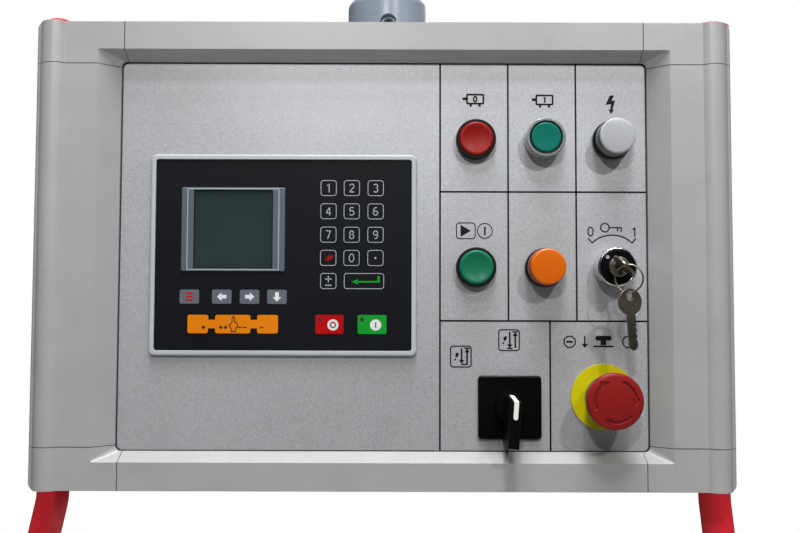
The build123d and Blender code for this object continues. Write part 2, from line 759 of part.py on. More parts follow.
board_depth = 24.0
with BuildPart() as controller_board:
    with BuildSketch(panel.offset(-board_depth)):
        with Locations(controller_place):
            Rectangle(housing_width - 2 * housing_wall - 4, housing_height - 2 * housing_wall - 4)
    extrude(amount=-1.6)
    with BuildSketch(panel.offset(-board_depth - 1.6)):
        with Locations((controller_offset - 20, 20), (controller_offset + 30, 30)):
            Rectangle(24, 24)
        with Locations((controller_offset + 60, 0)):
            Rectangle(16, 30)
    extrude(amount=-4)
    with BuildSketch(panel.offset(-board_depth)):
        with Locations(lcd_place):
            Rectangle(window_size + 10, window_size + 4)
    extrude(amount=board_depth - 2)
save(controller_board, "controller_board")

with BuildPart() as terminal_plugs:
    with BuildSketch(panel.offset(-board_depth - 1.6 - touch_gap)):
        with Locations(*[(controller_offset + a, -40) for a in (-55, 0, 55)]):
            Rectangle(40, 10)
    extrude(amount=board_depth + 1.6 - housing_depth - 10)
save(terminal_plugs, "terminal_plugs")

with BuildPart() as controller_clamps:
    for side in (-1, 1):
        with BuildSketch(behind_panel):
            with Locations(*[(controller_offset + side * (cutout_width / 2 + 3.5), rise)
                             for rise in (-45, 45)]):
                Rectangle(8, 12)
        extrude(amount=-16)
save(controller_clamps, "controller_clamps")


# ---------------------------------------------------------------- 22 mm devices
def disc_at(place, plane, radius, amount, mode=Mode.ADD):
    """Round boss or hole of one radius; amount is its height, negative going backwards."""
    with Locations(plane.location * Location((*place, min(amount, 0)))):
        Cylinder(radius, abs(amount), align=(Align.CENTER, Align.CENTER, Align.MIN), mode=mode)


with BuildPart() as device_nuts:
    with BuildSketch(behind_panel):
        with Locations(*small_places):
            RegularPolygon(device_nut_radius, 6)
            Circle(device_barrel_radius + touch_gap, mode=Mode.SUBTRACT)
    extrude(amount=-device_nut_thickness)
save(device_nuts, "device_nuts")

block_front = panel.offset(-device_barrel_length - panel_thickness)
with BuildPart() as contact_blocks:
    with BuildSketch(block_front):
        with Locations(*small_places):
            Rectangle(block_size, block_size)
    extrude(amount=-block_depth)
    with BuildSketch(block_front):
        with Locations(*small_places):
            Circle(device_barrel_radius - 1.4)
    extrude(amount=-lock_barrel_depth, mode=Mode.SUBTRACT)
    with BuildSketch(block_front.offset(-block_depth)):
        for (u, w) in small_places:
            with Locations((u - 9, w - 9), (u + 9, w - 9), (u - 9, w + 9), (u + 9, w + 9)):
                Circle(2.2)
    extrude(amount=3, mode=Mode.SUBTRACT)
save(contact_blocks, "contact_blocks")


def device_barrel(places, bore):
    """Threaded barrel of each device, reaching through the panel to its block."""
    for place in places:
        disc_at(place, panel, device_barrel_radius, -device_barrel_length - panel_thickness)
    for place in places:
        disc_at(place, panel.offset(1), bore, -device_barrel_length - panel_thickness - 1, Mode.SUBTRACT)


stem_bore = button_stem_radius + free_gap
plain_places = [red_place, start_place]
with BuildPart() as button_bezels:
    for place in plain_places:
        disc_at(place, panel, bezel_radius, button_bezel_height)
    fillet(button_bezels.faces().group_by(Axis.Y)[0].edges(), 0.8)
    for place in plain_places:
        disc_at(place, panel.offset(1.4), button_cap_radius + free_gap, button_bezel_height, Mode.SUBTRACT)
    device_barrel(plain_places, stem_bore)
    for place in plain_places:
        disc_at(place, panel.offset(3), stem_bore, -6, Mode.SUBTRACT)
save(button_bezels, "button_bezels")


def push_cap(name, place, radius, back, front, dish):
    """Dished cap with its stem; back and front are heights above the panel."""
    with BuildPart() as cap:
        disc_at(place, panel.offset(back), radius, front - back)
        fillet(cap.faces().sort_by(Axis.Y)[0].edges(), 1.0)
        disc_at(place, panel.offset(back), button_stem_radius,
                -back - device_barrel_length - panel_thickness + 1)
        if dish:
            bowl_radius = ((radius - 2.5) ** 2 + dish ** 2) / 2 / dish
            spot = panel.offset(front - dish + bowl_radius)
            bowl = Plane(origin=spot.from_local_coords((place[0], place[1], 0)), z_dir=spot.z_dir) \
                * Sphere(bowl_radius, mode=Mode.PRIVATE)
            add(bowl, mode=Mode.SUBTRACT)
    save(cap, name)


cap_back = 1.4 + button_travel + 0.4
push_cap("motor_off_cap", red_place, button_cap_radius, cap_back, button_bezel_height + button_proud, 1.2)
push_cap("start_cap", start_place, button_cap_radius, cap_back, button_bezel_height + button_proud, 1.2)

with BuildPart() as lit_button_collar:
    disc_at(lit_place, panel, lit_collar_radius, lit_collar_height)
    fillet(lit_button_collar.faces().sort_by(Axis.Y)[0].edges(), 1.2)
    disc_at(lit_place, panel.offset(1.4), lit_cap_radius + free_gap, lit_collar_height, Mode.SUBTRACT)
    device_barrel([lit_place], stem_bore)
    disc_at(lit_place, panel.offset(3), stem_bore, -6, Mode.SUBTRACT)
save(lit_button_collar, "lit_button_collar")
push_cap("motor_on_cap", lit_place, lit_cap_radius, cap_back, lit_collar_height + 0.6, 0.5)

lamp_places = [white_place, amber_place]
with BuildPart() as lamp_bases:
    for place in lamp_places:
        disc_at(place, panel, lamp_base_radius, lamp_base_height)
    for place in lamp_places:
        disc_at(place, panel.offset(1.4), lens_radius - 1.2, lamp_base_height, Mode.SUBTRACT)
    device_barrel(lamp_places, 8)
    for place in lamp_places:
        disc_at(place, panel.offset(3), 8, -6, Mode.SUBTRACT)
save(lamp_bases, "lamp_bases")

for name, place in (("white_lens", white_place), ("amber_lens", amber_place)):
    with BuildPart() as lens:
        disc_at(place, panel.offset(lamp_base_height), lens_radius, lens_height - lamp_base_height)
        fillet(lens.faces().sort_by(Axis.Y)[0].edges(), 2.6)
        disc_at(place, panel.offset(lamp_base_height), lens_radius - 1.2 - touch_gap, -4)
        disc_at(place, panel.offset(lamp_base_height - 4), lens_radius - 3.2, lens_height - 5, Mode.SUBTRACT)
    save(lens, name)

with BuildPart() as lamp_bulbs:
    for place in lamp_places:
        disc_at(place, panel.offset(-device_barrel_length), 5, device_barrel_length + 9)
    fillet(lamp_bulbs.faces().group_by(Axis.Y)[0].edges(), 3)
save(lamp_bulbs, "lamp_bulbs")

# ---------------------------------------------------------------- key switch
with BuildPart() as lock_bezel:
    disc_at(lock_place, panel, lock_bezel_radius, lock_bezel_height)
    fillet(lock_bezel.faces().sort_by(Axis.Y)[0].edges(), 1.2)
    disc_at(lock_place, panel.offset(2), lock_face_radius, lock_bezel_height, Mode.SUBTRACT)
    device_barrel([lock_place], lock_barrel_radius + free_gap)
    disc_at(lock_place, panel.offset(4), lock_barrel_radius + free_gap, -6, Mode.SUBTRACT)
save(lock_bezel, "lock_bezel")

with BuildPart() as lock_face:
    disc_at(lock_place, panel.offset(2 + touch_gap), lock_face_radius - touch_gap, lock_bezel_height - 3)
    fillet(lock_face.faces().sort_by(Axis.Y)[0].edges(), 1.0)
    disc_at(lock_place, panel, lock_barrel_radius + free_gap, lock_bezel_height + 5, Mode.SUBTRACT)
save(lock_face, "lock_face")

# the key's flat lies on the diagonal from half past ten to half past four
lock_point = panel.from_local_coords((lock_place[0], lock_place[1], 0))
key_plane_normal = Vector(math.sqrt(0.5), 0, math.sqrt(0.5))


def key_outline(plane, slot):
    """Key silhouette: x runs from the shoulder towards the bow, origin at the shoulder."""
    with BuildSketch(plane) as outline:
        with Locations((key_bow_radius, 0)):
            Circle(key_bow_radius)
        with Locations((-key_blade_length / 2 + 1, 0)):
            Rectangle(key_blade_length + 4, key_blade_width)
        bite = 1.3
        with Locations(*[(-4.5 - 4.2 * n, -key_blade_width / 2) for n in range(4)]):
            RegularPolygon(bite, 3, rotation=90, mode=Mode.SUBTRACT)
        with Locations((-key_blade_length - 1, -key_blade_width / 2)):
            Rectangle(3.4, 3.4, rotation=45, mode=Mode.SUBTRACT)
        with Locations((-key_blade_length - 1, key_blade_width / 2)):
            Rectangle(3.4, 3.4, rotation=45, mode=Mode.SUBTRACT)
        with Locations((2 * key_bow_radius - key_hole_inset, 0)):
            if slot:
                RectangleRounded(spare_hole_length, spare_hole_width, spare_hole_width / 2 - 0.1,
                                 mode=Mode.SUBTRACT)
            else:
                Circle(key_hole_radius, mode=Mode.SUBTRACT)
    return outline.sketch


slot_clearance = 0.25
with BuildPart() as lock_barrel:
    disc_at(lock_place, panel.offset(lock_barrel_height), lock_barrel_radius,
            -lock_barrel_height - lock_barrel_depth)
    fillet(lock_barrel.faces().sort_by(Axis.Y)[0].edges(), 0.8)
    blade_room = key_blade_length + 2 - key_shoulder_gap
    slot_plane = Plane(origin=lock_point + Vector(0, -lock_barrel_height, 0), x_dir=key_plane_normal,
                       z_dir=(0, -1, 0))
    with BuildSketch(slot_plane):
        Rectangle(key_thickness + 2 * slot_clearance, key_blade_width + 2 * slot_clearance)
    extrude(amount=-blade_room, mode=Mode.SUBTRACT)
save(lock_barrel, "lock_barrel")

shoulder = lock_point + Vector(0, -lock_barrel_height - key_shoulder_gap, 0)
key_plane = Plane(origin=shoulder, x_dir=(0, -1, 0), z_dir=key_plane_normal)
switch_key_shape = key_outline(key_plane, slot=False)
with BuildPart() as switch_key:
    extrude(switch_key_shape, amount=key_thickness / 2, both=True)
save(switch_key, "switch_key")

hole_point = shoulder + Vector(0, -(2 * key_bow_radius - key_hole_inset), 0)
yaw, tilt = math.radians(ring_yaw), math.radians(ring_tilt)
along = Vector(math.cos(yaw), math.sin(yaw), 0)
ring_centre = (hole_point + along * (ring_radius * math.sin(tilt))
               - Vector(0, 0, ring_radius * math.cos(tilt)))
ring_normal = Vector(-math.sin(yaw), math.cos(yaw), 0)
with BuildPart() as key_ring:
    ring_torus = Plane(origin=ring_centre, x_dir=along, z_dir=ring_normal) \
        * Torus(ring_radius, ring_wire, mode=Mode.PRIVATE)
    add(ring_torus)
save(key_ring, "key_ring")

spare_angle = math.radians(spare_yaw)
spare_hole = ring_centre - Vector(0, 0, ring_radius + spare_drop)
spare_up = (Vector(0, 0, 1) * math.cos(math.radians(spare_lean))
            - Vector(math.cos(spare_angle), math.sin(spare_angle), 0) * math.sin(math.radians(spare_lean)))
spare_shoulder = spare_hole - spare_up * (2 * key_bow_radius - key_hole_inset)
spare_plane = Plane(origin=spare_shoulder, x_dir=spare_up,
                    z_dir=(math.sin(spare_angle), -math.cos(spare_angle), 0))
spare_key_shape = key_outline(spare_plane, slot=True)
with BuildPart() as spare_key:
    extrude(spare_key_shape, amount=key_thickness / 2, both=True)
save(spare_key, "spare_key")

# ---------------------------------------------------------------- mode selector
with BuildPart() as selector_plate:
    with BuildSketch(panel):
        with Locations(selector_place):
            RectangleRounded(selector_plate_size, selector_plate_size, 3)
    extrude(amount=selector_plate_thickness)
    fillet(selector_plate.faces().sort_by(Axis.Y)[0].edges(), 1.4)
    disc_at(selector_place, panel, selector_shaft_radius + free_gap, selector_plate_thickness, Mode.SUBTRACT)
save(selector_plate, "selector_plate")

knob_foot = selector_plate_thickness + free_gap
lean = math.radians(selector_lean)
grip_plane = Plane(origin=panel.from_local_coords((*selector_place, 0)),
                   x_dir=(math.cos(lean), 0, math.sin(lean)), z_dir=(0, -1, 0))
with BuildPart() as selector_handle:
    with BuildSketch(panel.offset(knob_foot)):
        with Locations(selector_place):
            Circle(selector_radius)
    extrude(amount=selector_base_height - knob_foot, taper=12)
    with BuildSketch(grip_plane.offset(selector_foot_height)):
        with Locations((0, (selector_foot_above - selector_foot_below) / 2)):
            Rectangle(selector_foot_width, selector_foot_below + selector_foot_above)
    with BuildSketch(grip_plane.offset(selector_grip_height)):
        Polygon((-selector_end_width / 2, -selector_grip_below),
                (selector_end_width / 2, -selector_grip_below),
                (selector_top_width / 2, selector_grip_above),
                (-selector_top_width / 2, selector_grip_above), align=None)
    loft()
    fillet(selector_handle.faces().sort_by(Axis.Y)[0].edges(), 1.2)
    disc_at(selector_place, panel.offset(knob_foot), selector_shaft_radius,
            -knob_foot - panel_thickness - 8)
save(selector_handle, "selector_handle")

with BuildPart() as selector_body:
    with BuildSketch(behind_panel):
        with Locations(selector_place):
            RectangleRounded(selector_body_size, selector_body_size, 2)
    extrude(amount=-selector_body_depth)
    disc_at(selector_place, behind_panel, selector_shaft_radius + 1, -12, Mode.SUBTRACT)
    with BuildSketch(behind_panel.offset(-12)):
        with Locations(selector_place):
            with GridLocations(selector_body_size, 12, 2, 3):
                Rectangle(5, 6)
    extrude(amount=12 - selector_body_depth + 6, mode=Mode.SUBTRACT)
save(selector_body, "selector_body")

# ---------------------------------------------------------------- emergency stop
with BuildPart() as estop_disc:
    disc_at(stop_place, panel, disc_radius, disc_thickness)
    disc_at(stop_place, panel, device_barrel_radius + touch_gap, disc_thickness, Mode.SUBTRACT)
save(estop_disc, "estop_disc")

with BuildPart() as estop_collar:
    disc_at(stop_place, panel.offset(disc_thickness), estop_neck_radius, estop_neck_height)
    disc_at(stop_place, panel.offset(estop_neck_height), estop_collar_radius,
            estop_collar_height - estop_neck_height)
    fillet(estop_collar.faces().sort_by(Axis.Y)[0].edges(), 1.0)
    disc_at(stop_place, panel.offset(disc_thickness), device_barrel_radius,
            -disc_thickness - device_barrel_length - panel_thickness)
    disc_at(stop_place, panel.offset(estop_collar_height), estop_stem_radius + free_gap, -60, Mode.SUBTRACT)
save(estop_collar, "estop_collar")

head_back = estop_head_height - estop_head_thickness
tip_radius = 5.0
with BuildPart() as estop_stem:
    disc_at(stop_place, panel.offset(head_back - free_gap), estop_stem_radius,
            -head_back + free_gap - device_barrel_length - panel_thickness - 2)
    disc_at(stop_place, panel.offset(head_back - free_gap), tip_radius, free_gap + 7)
save(estop_stem, "estop_stem")

with BuildPart() as estop_head:
    with BuildSketch(panel.offset(head_back)):
        with Locations(stop_place):
            Circle(estop_head_radius - estop_head_draw)
    with BuildSketch(panel.offset(head_back + estop_head_skirt)):
        with Locations(stop_place):
            Circle(estop_head_radius)
    loft()
    disc_at(stop_place, panel.offset(head_back + estop_head_skirt), estop_head_radius,
            estop_head_thickness - estop_head_skirt - estop_crown)
    crown_back = panel.offset(estop_head_height - estop_crown)
    with BuildSketch(crown_back):
        with Locations(stop_place):
            Circle(estop_head_radius)
    extrude(amount=estop_crown, taper=35)
    fillet(estop_head.faces().sort_by(Axis.Y)[0].edges(), 2.0)
    disc_at(stop_place, panel.offset(head_back), tip_radius + running_fit, 7.5, Mode.SUBTRACT)
save(estop_head, "estop_head")
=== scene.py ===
"""Looks of a press brake's hanging control pendant, built round its fixed CAD frame."""
import json
import math

import bmesh
import bpy
from mathutils import Euler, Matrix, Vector

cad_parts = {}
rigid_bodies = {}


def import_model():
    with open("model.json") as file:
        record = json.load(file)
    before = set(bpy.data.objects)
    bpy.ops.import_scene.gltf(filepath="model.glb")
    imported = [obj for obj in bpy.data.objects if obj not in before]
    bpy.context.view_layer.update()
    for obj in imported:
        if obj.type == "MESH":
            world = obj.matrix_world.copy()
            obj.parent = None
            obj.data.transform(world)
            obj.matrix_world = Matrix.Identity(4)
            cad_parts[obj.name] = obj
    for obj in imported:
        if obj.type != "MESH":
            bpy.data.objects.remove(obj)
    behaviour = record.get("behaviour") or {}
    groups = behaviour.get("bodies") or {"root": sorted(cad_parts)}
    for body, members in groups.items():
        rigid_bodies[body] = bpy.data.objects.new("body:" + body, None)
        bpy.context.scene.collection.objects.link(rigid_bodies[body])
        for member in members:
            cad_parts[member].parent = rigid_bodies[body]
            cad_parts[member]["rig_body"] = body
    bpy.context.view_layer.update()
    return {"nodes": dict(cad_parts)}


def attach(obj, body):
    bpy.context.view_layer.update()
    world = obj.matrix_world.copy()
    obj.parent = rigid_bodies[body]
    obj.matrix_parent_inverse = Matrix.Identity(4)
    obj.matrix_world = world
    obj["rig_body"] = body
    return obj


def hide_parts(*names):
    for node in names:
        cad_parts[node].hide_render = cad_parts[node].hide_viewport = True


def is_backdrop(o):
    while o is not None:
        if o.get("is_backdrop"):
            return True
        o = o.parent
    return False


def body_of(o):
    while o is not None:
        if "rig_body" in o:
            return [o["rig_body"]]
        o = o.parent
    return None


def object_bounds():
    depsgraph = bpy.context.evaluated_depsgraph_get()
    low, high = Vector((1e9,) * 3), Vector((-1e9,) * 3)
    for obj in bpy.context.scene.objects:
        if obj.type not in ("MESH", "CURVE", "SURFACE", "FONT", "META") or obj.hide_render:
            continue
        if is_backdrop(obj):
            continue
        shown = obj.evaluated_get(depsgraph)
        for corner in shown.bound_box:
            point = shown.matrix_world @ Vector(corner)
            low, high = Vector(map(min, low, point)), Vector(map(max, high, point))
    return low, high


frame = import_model()

# ---------------------------------------------------------------- front frame
# Eight die-cast aluminium pieces, powder coated light grey: four straight lengths
# plugged onto four corner castings, held by screws from the case behind.


def node(tree, kind, feeds=None, **settings):
    """Add a shader node; feeds maps an input's name or number to a value or an output."""
    made = tree.nodes.new("ShaderNode" + kind)
    for key, value in settings.items():
        setattr(made, key, value)
    for key, value in (feeds or {}).items():
        if isinstance(value, bpy.types.NodeSocket):
            tree.links.new(value, made.inputs[key])
        else:
            made.inputs[key].default_value = value
    return made


def effect(name, **inputs):
    """Node group with the named inputs, giving Colour, Roughness and Normal."""
    group = bpy.data.node_groups.new(name, "ShaderNodeTree")
    for label, start in inputs.items():
        kind = "Color" if isinstance(start, tuple) else "Float"
        socket = group.interface.new_socket(label, in_out="INPUT", socket_type="NodeSocket" + kind)
        socket.default_value = start
    for label, kind in (("Colour", "Color"), ("Roughness", "Float"), ("Normal", "Vector")):
        group.interface.new_socket(label, in_out="OUTPUT", socket_type="NodeSocket" + kind)
    source = group.nodes.new("NodeGroupInput").outputs
    place = node(group, "TexCoord").outputs["Object"]
    return group, source, place, group.nodes.new("NodeGroupOutput")


def finish(name, group, colour, roughness, metallic=0.0, shader_values=None, **values):
    """Material whose Principled shader takes colour, roughness and normal from a group."""
    made = bpy.data.materials.new(name)
    made.use_nodes = True
    tree = made.node_tree
    shader = tree.nodes["Principled BSDF"]
    look = node(tree, "Group", node_tree=group)
    look.inputs["Colour"].default_value = (*[channel(c) for c in colour], 1)
    look.inputs["Roughness"].default_value = roughness
    for label, value in values.items():
        look.inputs[label].default_value = value
    tree.links.new(look.outputs["Colour"], shader.inputs["Base Color"])
    tree.links.new(look.outputs["Roughness"], shader.inputs["Roughness"])
    tree.links.new(look.outputs["Normal"], shader.inputs["Normal"])
    shader.inputs["Metallic"].default_value = metallic
    for label, value in (shader_values or {}).items():
        shader.inputs[label].default_value = value
    return made


def channel(level):
    """Linear light of a display level from 0 to 255."""
    c = level / 255
    return c / 12.92 if c <= 0.04045 else ((c + 0.055) / 1.055) ** 2.4


# mottled coat: cloudy brightness, fine bumps, dust specks
coat, source, place, out = effect(
    "coat", Colour=(0.5, 0.5, 0.5, 1), Roughness=0.5, Mottle=0.06, Grain=1400.0, Bump=0.12, Specks=0.0,
    Smear=0.06)
clouds = node(coat, "TexNoise", {"Vector": place, "Scale": 22.0, "Detail": 4.0, "Roughness": 0.6})
grain = node(coat, "TexNoise", {"Vector": place, "Scale": source["Grain"], "Detail": 2.0})
specks = node(coat, "TexNoise", {"Vector": place, "Scale": 620.0, "Detail": 1.0})
speck_mask = node(coat, "MapRange", {"Value": specks.outputs[0], "From Min": 0.70, "From Max": 0.74})
cloud_shift = node(coat, "MapRange", {"Value": clouds.outputs[0], "From Min": 0.3, "From Max": 0.7,
                                      "To Min": -1.0, "To Max": 1.0})
grain_shift = node(coat, "MapRange", {"Value": grain.outputs[0], "From Min": 0.3, "From Max": 0.7,
                                      "To Min": -0.7, "To Max": 0.7})
both = node(coat, "Math", {0: cloud_shift.outputs[0], 1: grain_shift.outputs[0]}, operation="ADD")
level = node(coat, "Math", {0: both.outputs[0], 1: source["Mottle"], 2: 1.0}, operation="MULTIPLY_ADD")
shaded = node(coat, "HueSaturation", {"Color": source["Colour"], "Value": level.outputs[0]})
spot_share = node(coat, "Math", {0: speck_mask.outputs[0], 1: source["Specks"]}, operation="MULTIPLY")
spotted = node(coat, "Mix", {0: spot_share.outputs[0], 6: shaded.outputs[0], 7: (0.03, 0.028, 0.025, 1)},
               data_type="RGBA")
rough = node(coat, "Math", {0: cloud_shift.outputs[0], 1: source["Smear"], 2: source["Roughness"]},
             operation="MULTIPLY_ADD")
bump = node(coat, "Bump", {"Strength": source["Bump"], "Distance": 0.0002, "Height": grain.outputs[0]})
coat.links.new(spotted.outputs[2], out.inputs["Colour"])
coat.links.new(rough.outputs[0], out.inputs["Roughness"])
coat.links.new(bump.outputs[0], out.inputs["Normal"])


def softened(name, node_name, skin, width, angle=28, segments=2, slot=None):
    """Copy of a CAD node with its edges rounded by width millimetres, standing for that node."""
    cad = frame["nodes"][node_name]
    slot = slot or cad.data.materials[0].name.split(".")[0]
    work = bmesh.new()
    work.from_mesh(cad.data)
    bmesh.ops.remove_doubles(work, verts=work.verts, dist=0.000002)
    bmesh.ops.dissolve_limit(work, angle_limit=math.radians(0.4), verts=work.verts, edges=work.edges)
    mesh = bpy.data.meshes.new(name)
    work.to_mesh(mesh)
    work.free()
    for face in mesh.polygons:
        face.use_smooth = True
        face.material_index = 0
    for attribute in [a.name for a in mesh.attributes if a.name.startswith(("custom_normal", "UVMap"))]:
        mesh.attributes.remove(mesh.attributes[attribute])
    obj = shown(name, mesh, skin, next(iter(body_of(cad))))
    edge = obj.modifiers.new("edge", "BEVEL")
    edge.width = width / 1000
    edge.segments = segments
    edge.limit_method = "ANGLE"
    edge.angle_limit = math.radians(angle)
    edge.use_clamp_overlap = True
    obj.modifiers.new("normals", "WEIGHTED_NORMAL").keep_sharp = True
    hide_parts(node_name)
    return obj


def shown(name, mesh, skin, body):
    """Put a mesh in the scene, riding on a CAD body and taking the given finish."""
    mesh.materials.clear()
    mesh.materials.append(skin)
    obj = bpy.data.objects.new(name, mesh)
    bpy.context.collection.objects.link(obj)
    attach(obj, body)
    return obj


frame_paint = finish("frame_paint", coat, (161, 161, 160), 0.34, Mottle=0.045, Grain=1500.0, Bump=0.35,
                     Specks=0.1, Smear=0.03)
for part in ("frame_left_stile", "frame_right_stile", "frame_top_rail", "frame_bottom_rail",
             "corner_top_left", "corner_top_right", "corner_bottom_left", "corner_bottom_right"):
    softened(part + "_cast", part, frame_paint, 0.8)


middle_u, panel_front, middle_w = 2.4, 77.1, 286.4      # panel's middle: left of, before, below the origin
seam_across, seam_along = 194.0, 142.3                  # the joints' distances from that middle


def seam(name, node_name, axis, place):
    """Dark strip in the joint where a straight length meets a corner: a thin plate, a little
    smaller than the section of the CAD node at place millimetres along the axis."""
    shrink, half = 0.0002, 0.0003
    work = bmesh.new()
    work.from_mesh(frame["nodes"][node_name].data)
    bmesh.ops.remove_doubles(work, verts=work.verts, dist=0.000002)
    for face in [f for f in work.faces if any(abs(v.co[axis] - place / 1000) > 0.00002 for v in f.verts)]:
        work.faces.remove(face)
    bmesh.ops.dissolve_limit(work, angle_limit=0.01, verts=work.verts, edges=work.edges)
    rim = bmesh.ops.inset_region(work, faces=work.faces, thickness=shrink, use_even_offset=True)
    bmesh.ops.delete(work, geom=rim["faces"], context="FACES")
    for vert in work.verts:
        vert.co[axis] -= half
    thick = bmesh.ops.extrude_face_region(work, geom=work.faces[:])
    for item in thick["geom"]:
        if isinstance(item, bmesh.types.BMVert):
            item.co[axis] += 2 * half
    bmesh.ops.recalc_face_normals(work, faces=work.faces)
    mesh = bpy.data.meshes.new(name)
    work.to_mesh(mesh)
    work.free()
    shown(name, mesh, joint_dark, "case")


# the joints are drawn as thin dark strips set into the V-grooves between the pieces
joint_dark = finish("seam_dark", coat, (40, 39, 38), 0.7, Mottle=0.15)
for part, side_x, side_z in (("corner_top_left", 1, -1), ("corner_top_right", -1, -1),
                             ("corner_bottom_left", 1, 1), ("corner_bottom_right", -1, 1)):
    seam(part + "_seam_across", part, 0, -seam_across * side_x - middle_u)
    seam(part + "_seam_along", part, 2, -seam_along * side_z - middle_w)

# ---------------------------------------------------------------- gasket, panel and its printing
# A dark rubber strip lies between frame and panel.  The panel is sheet aluminium with
# a speckled silver coat; its lines and symbols are black printing, slightly raised.
ink_height = 0.06


def spot(u, w, out=0.0):
    """Point in metres, from millimetres u right of and w above the panel's middle, out before it."""
    return ((u - middle_u) / 1000, (-panel_front - out) / 1000, (w - middle_w) / 1000)


# speckled coat: bright and dark flecks over a slightly cloudy base
speckle, source, place, out = effect(
    "speckle", Colour=(0.5, 0.5, 0.5, 1), Roughness=0.4, Fleck=0.22, Size=2400.0, Mottle=0.05)
cells = node(speckle, "TexVoronoi", {"Vector": place, "Scale": source["Size"]})
fleck = node(speckle, "SeparateColor", {0: cells.outputs["Color"]})
fine = node(speckle, "TexNoise", {"Vector": place, "Scale": 900.0, "Detail": 3.0})
haze = node(speckle, "TexNoise", {"Vector": place, "Scale": 9.0, "Detail": 3.0})
fleck_shift = node(speckle, "MapRange", {"Value": fleck.outputs[0], "To Min": -0.6, "To Max": 0.6})
fine_shift = node(speckle, "MapRange", {"Value": fine.outputs[0], "From Min": 0.3, "From Max": 0.7,
                                        "To Min": -0.5, "To Max": 0.5})
haze_shift = node(speckle, "MapRange", {"Value": haze.outputs[0], "From Min": 0.3, "From Max": 0.7,
                                        "To Min": -1.0, "To Max": 1.0})
both = node(speckle, "Math", {0: fleck_shift.outputs[0], 1: fine_shift.outputs[0]}, operation="ADD")
level = node(speckle, "Math", {0: both.outputs[0], 1: source["Fleck"], 2: 1.0}, operation="MULTIPLY_ADD")
level = node(speckle, "Math", {0: haze_shift.outputs[0], 1: source["Mottle"], 2: level.outputs[0]},
             operation="MULTIPLY_ADD")
shaded = node(speckle, "HueSaturation", {"Color": source["Colour"], "Value": level.outputs[0]})
rough = node(speckle, "Math", {0: fleck_shift.outputs[0], 1: 0.12, 2: source["Roughness"]},
             operation="MULTIPLY_ADD")
bump = node(speckle, "Bump", {"Strength": 0.12, "Distance": 0.0001, "Height": fine.outputs[0]})
speckle.links.new(shaded.outputs[0], out.inputs["Colour"])
speckle.links.new(rough.outputs[0], out.inputs["Roughness"])
speckle.links.new(bump.outputs[0], out.inputs["Normal"])

rubber = finish("gasket_rubber", coat, (38, 38, 40), 0.7, Mottle=0.15)
panel_skin = finish("panel_aluminium", speckle, (176, 178, 181), 0.45, metallic=0.42)
softened("panel_seal", "panel_gasket", rubber, 0.1)
softened("panel_sheet", "front_panel", panel_skin, 0.1)


def plates(name, outlines, low, high, skin, body):
    """Flat pieces of any outline, from height low to high in front of the panel, as one closed mesh.

    Each outline is a run of (u, w) points; point k gives a front vertex at high and a back vertex at low."""
    points, faces = [], []
    for outline in outlines:
        turn = sum(a[0] * b[1] - b[0] * a[1] for a, b in zip(outline, outline[1:] + outline[:1]))
        run = list(outline) if turn > 0 else list(reversed(outline))
        first, count = len(points), len(run)
        points += [spot(u, w, high) for u, w in run] + [spot(u, w, low) for u, w in run]
        faces.append(list(range(first, first + count)))
        faces.append(list(range(first + 2 * count - 1, first + count - 1, -1)))
        faces += [[first + k, first + count + k, first + count + (k + 1) % count, first + (k + 1) % count]
                  for k in range(count)]
    mesh = bpy.data.meshes.new(name)
    mesh.from_pydata(points, [], faces)
    mesh.update()
    return shown(name, mesh, skin, body)


def bar(u1, w1, u2, w2, width):
    """Outline of a straight stroke between two points."""
    length = math.hypot(u2 - u1, w2 - w1)
    du, dw = (u2 - u1) / length * width / 2, (w2 - w1) / length * width / 2
    return [(u1 - dw, w1 + du), (u1 + dw, w1 - du), (u2 + dw, w2 - du), (u2 - dw, w2 + du)]


def ring_pieces(u, w, radius, width, start=0, end=360, steps=40, tall=1.0):
    """Outlines of the short straight pieces that make a circular or, if tall isn't 1, an oval stroke."""
    angles = [math.radians(start + (end - start) * k / steps) for k in range(steps + 1)]
    return [[(u + (radius + side) * math.cos(t), w + (radius * tall + side) * math.sin(t)) for side, t in
             ((width / 2, a), (width / 2, b), (-width / 2, b), (-width / 2, a))]
            for a, b in zip(angles, angles[1:])]


def disc_outline(u, w, radius, steps=28):
    """Outline of a disc."""
    return [(u + radius * math.cos(2 * math.pi * k / steps), w + radius * math.sin(2 * math.pi * k / steps))
            for k in range(steps)]


def round_box(u, w, width, height, corner, steps=5):
    """Outline of a rectangle with rounded corners."""
    centres = ((1, 1, 0), (-1, 1, 90), (-1, -1, 180), (1, -1, 270))
    run = []
    for a, b, start in centres:
        for k in range(steps + 1):
            t = math.radians(start + 90 * k / steps)
            run.append((u + a * (width / 2 - corner) + corner * math.cos(t),
                        w + b * (height / 2 - corner) + corner * math.sin(t)))
    return run


def frame_pieces(u, w, width, height, corner, line):
    """Outlines that make a rounded rectangular stroke."""
    outer = round_box(u, w, width + line, height + line, corner + line / 2)
    inner = round_box(u, w, width - line, height - line, max(corner - line / 2, 0.01))
    count = len(outer)
    return [[outer[k], outer[(k + 1) % count], inner[(k + 1) % count], inner[k]] for k in range(count)]


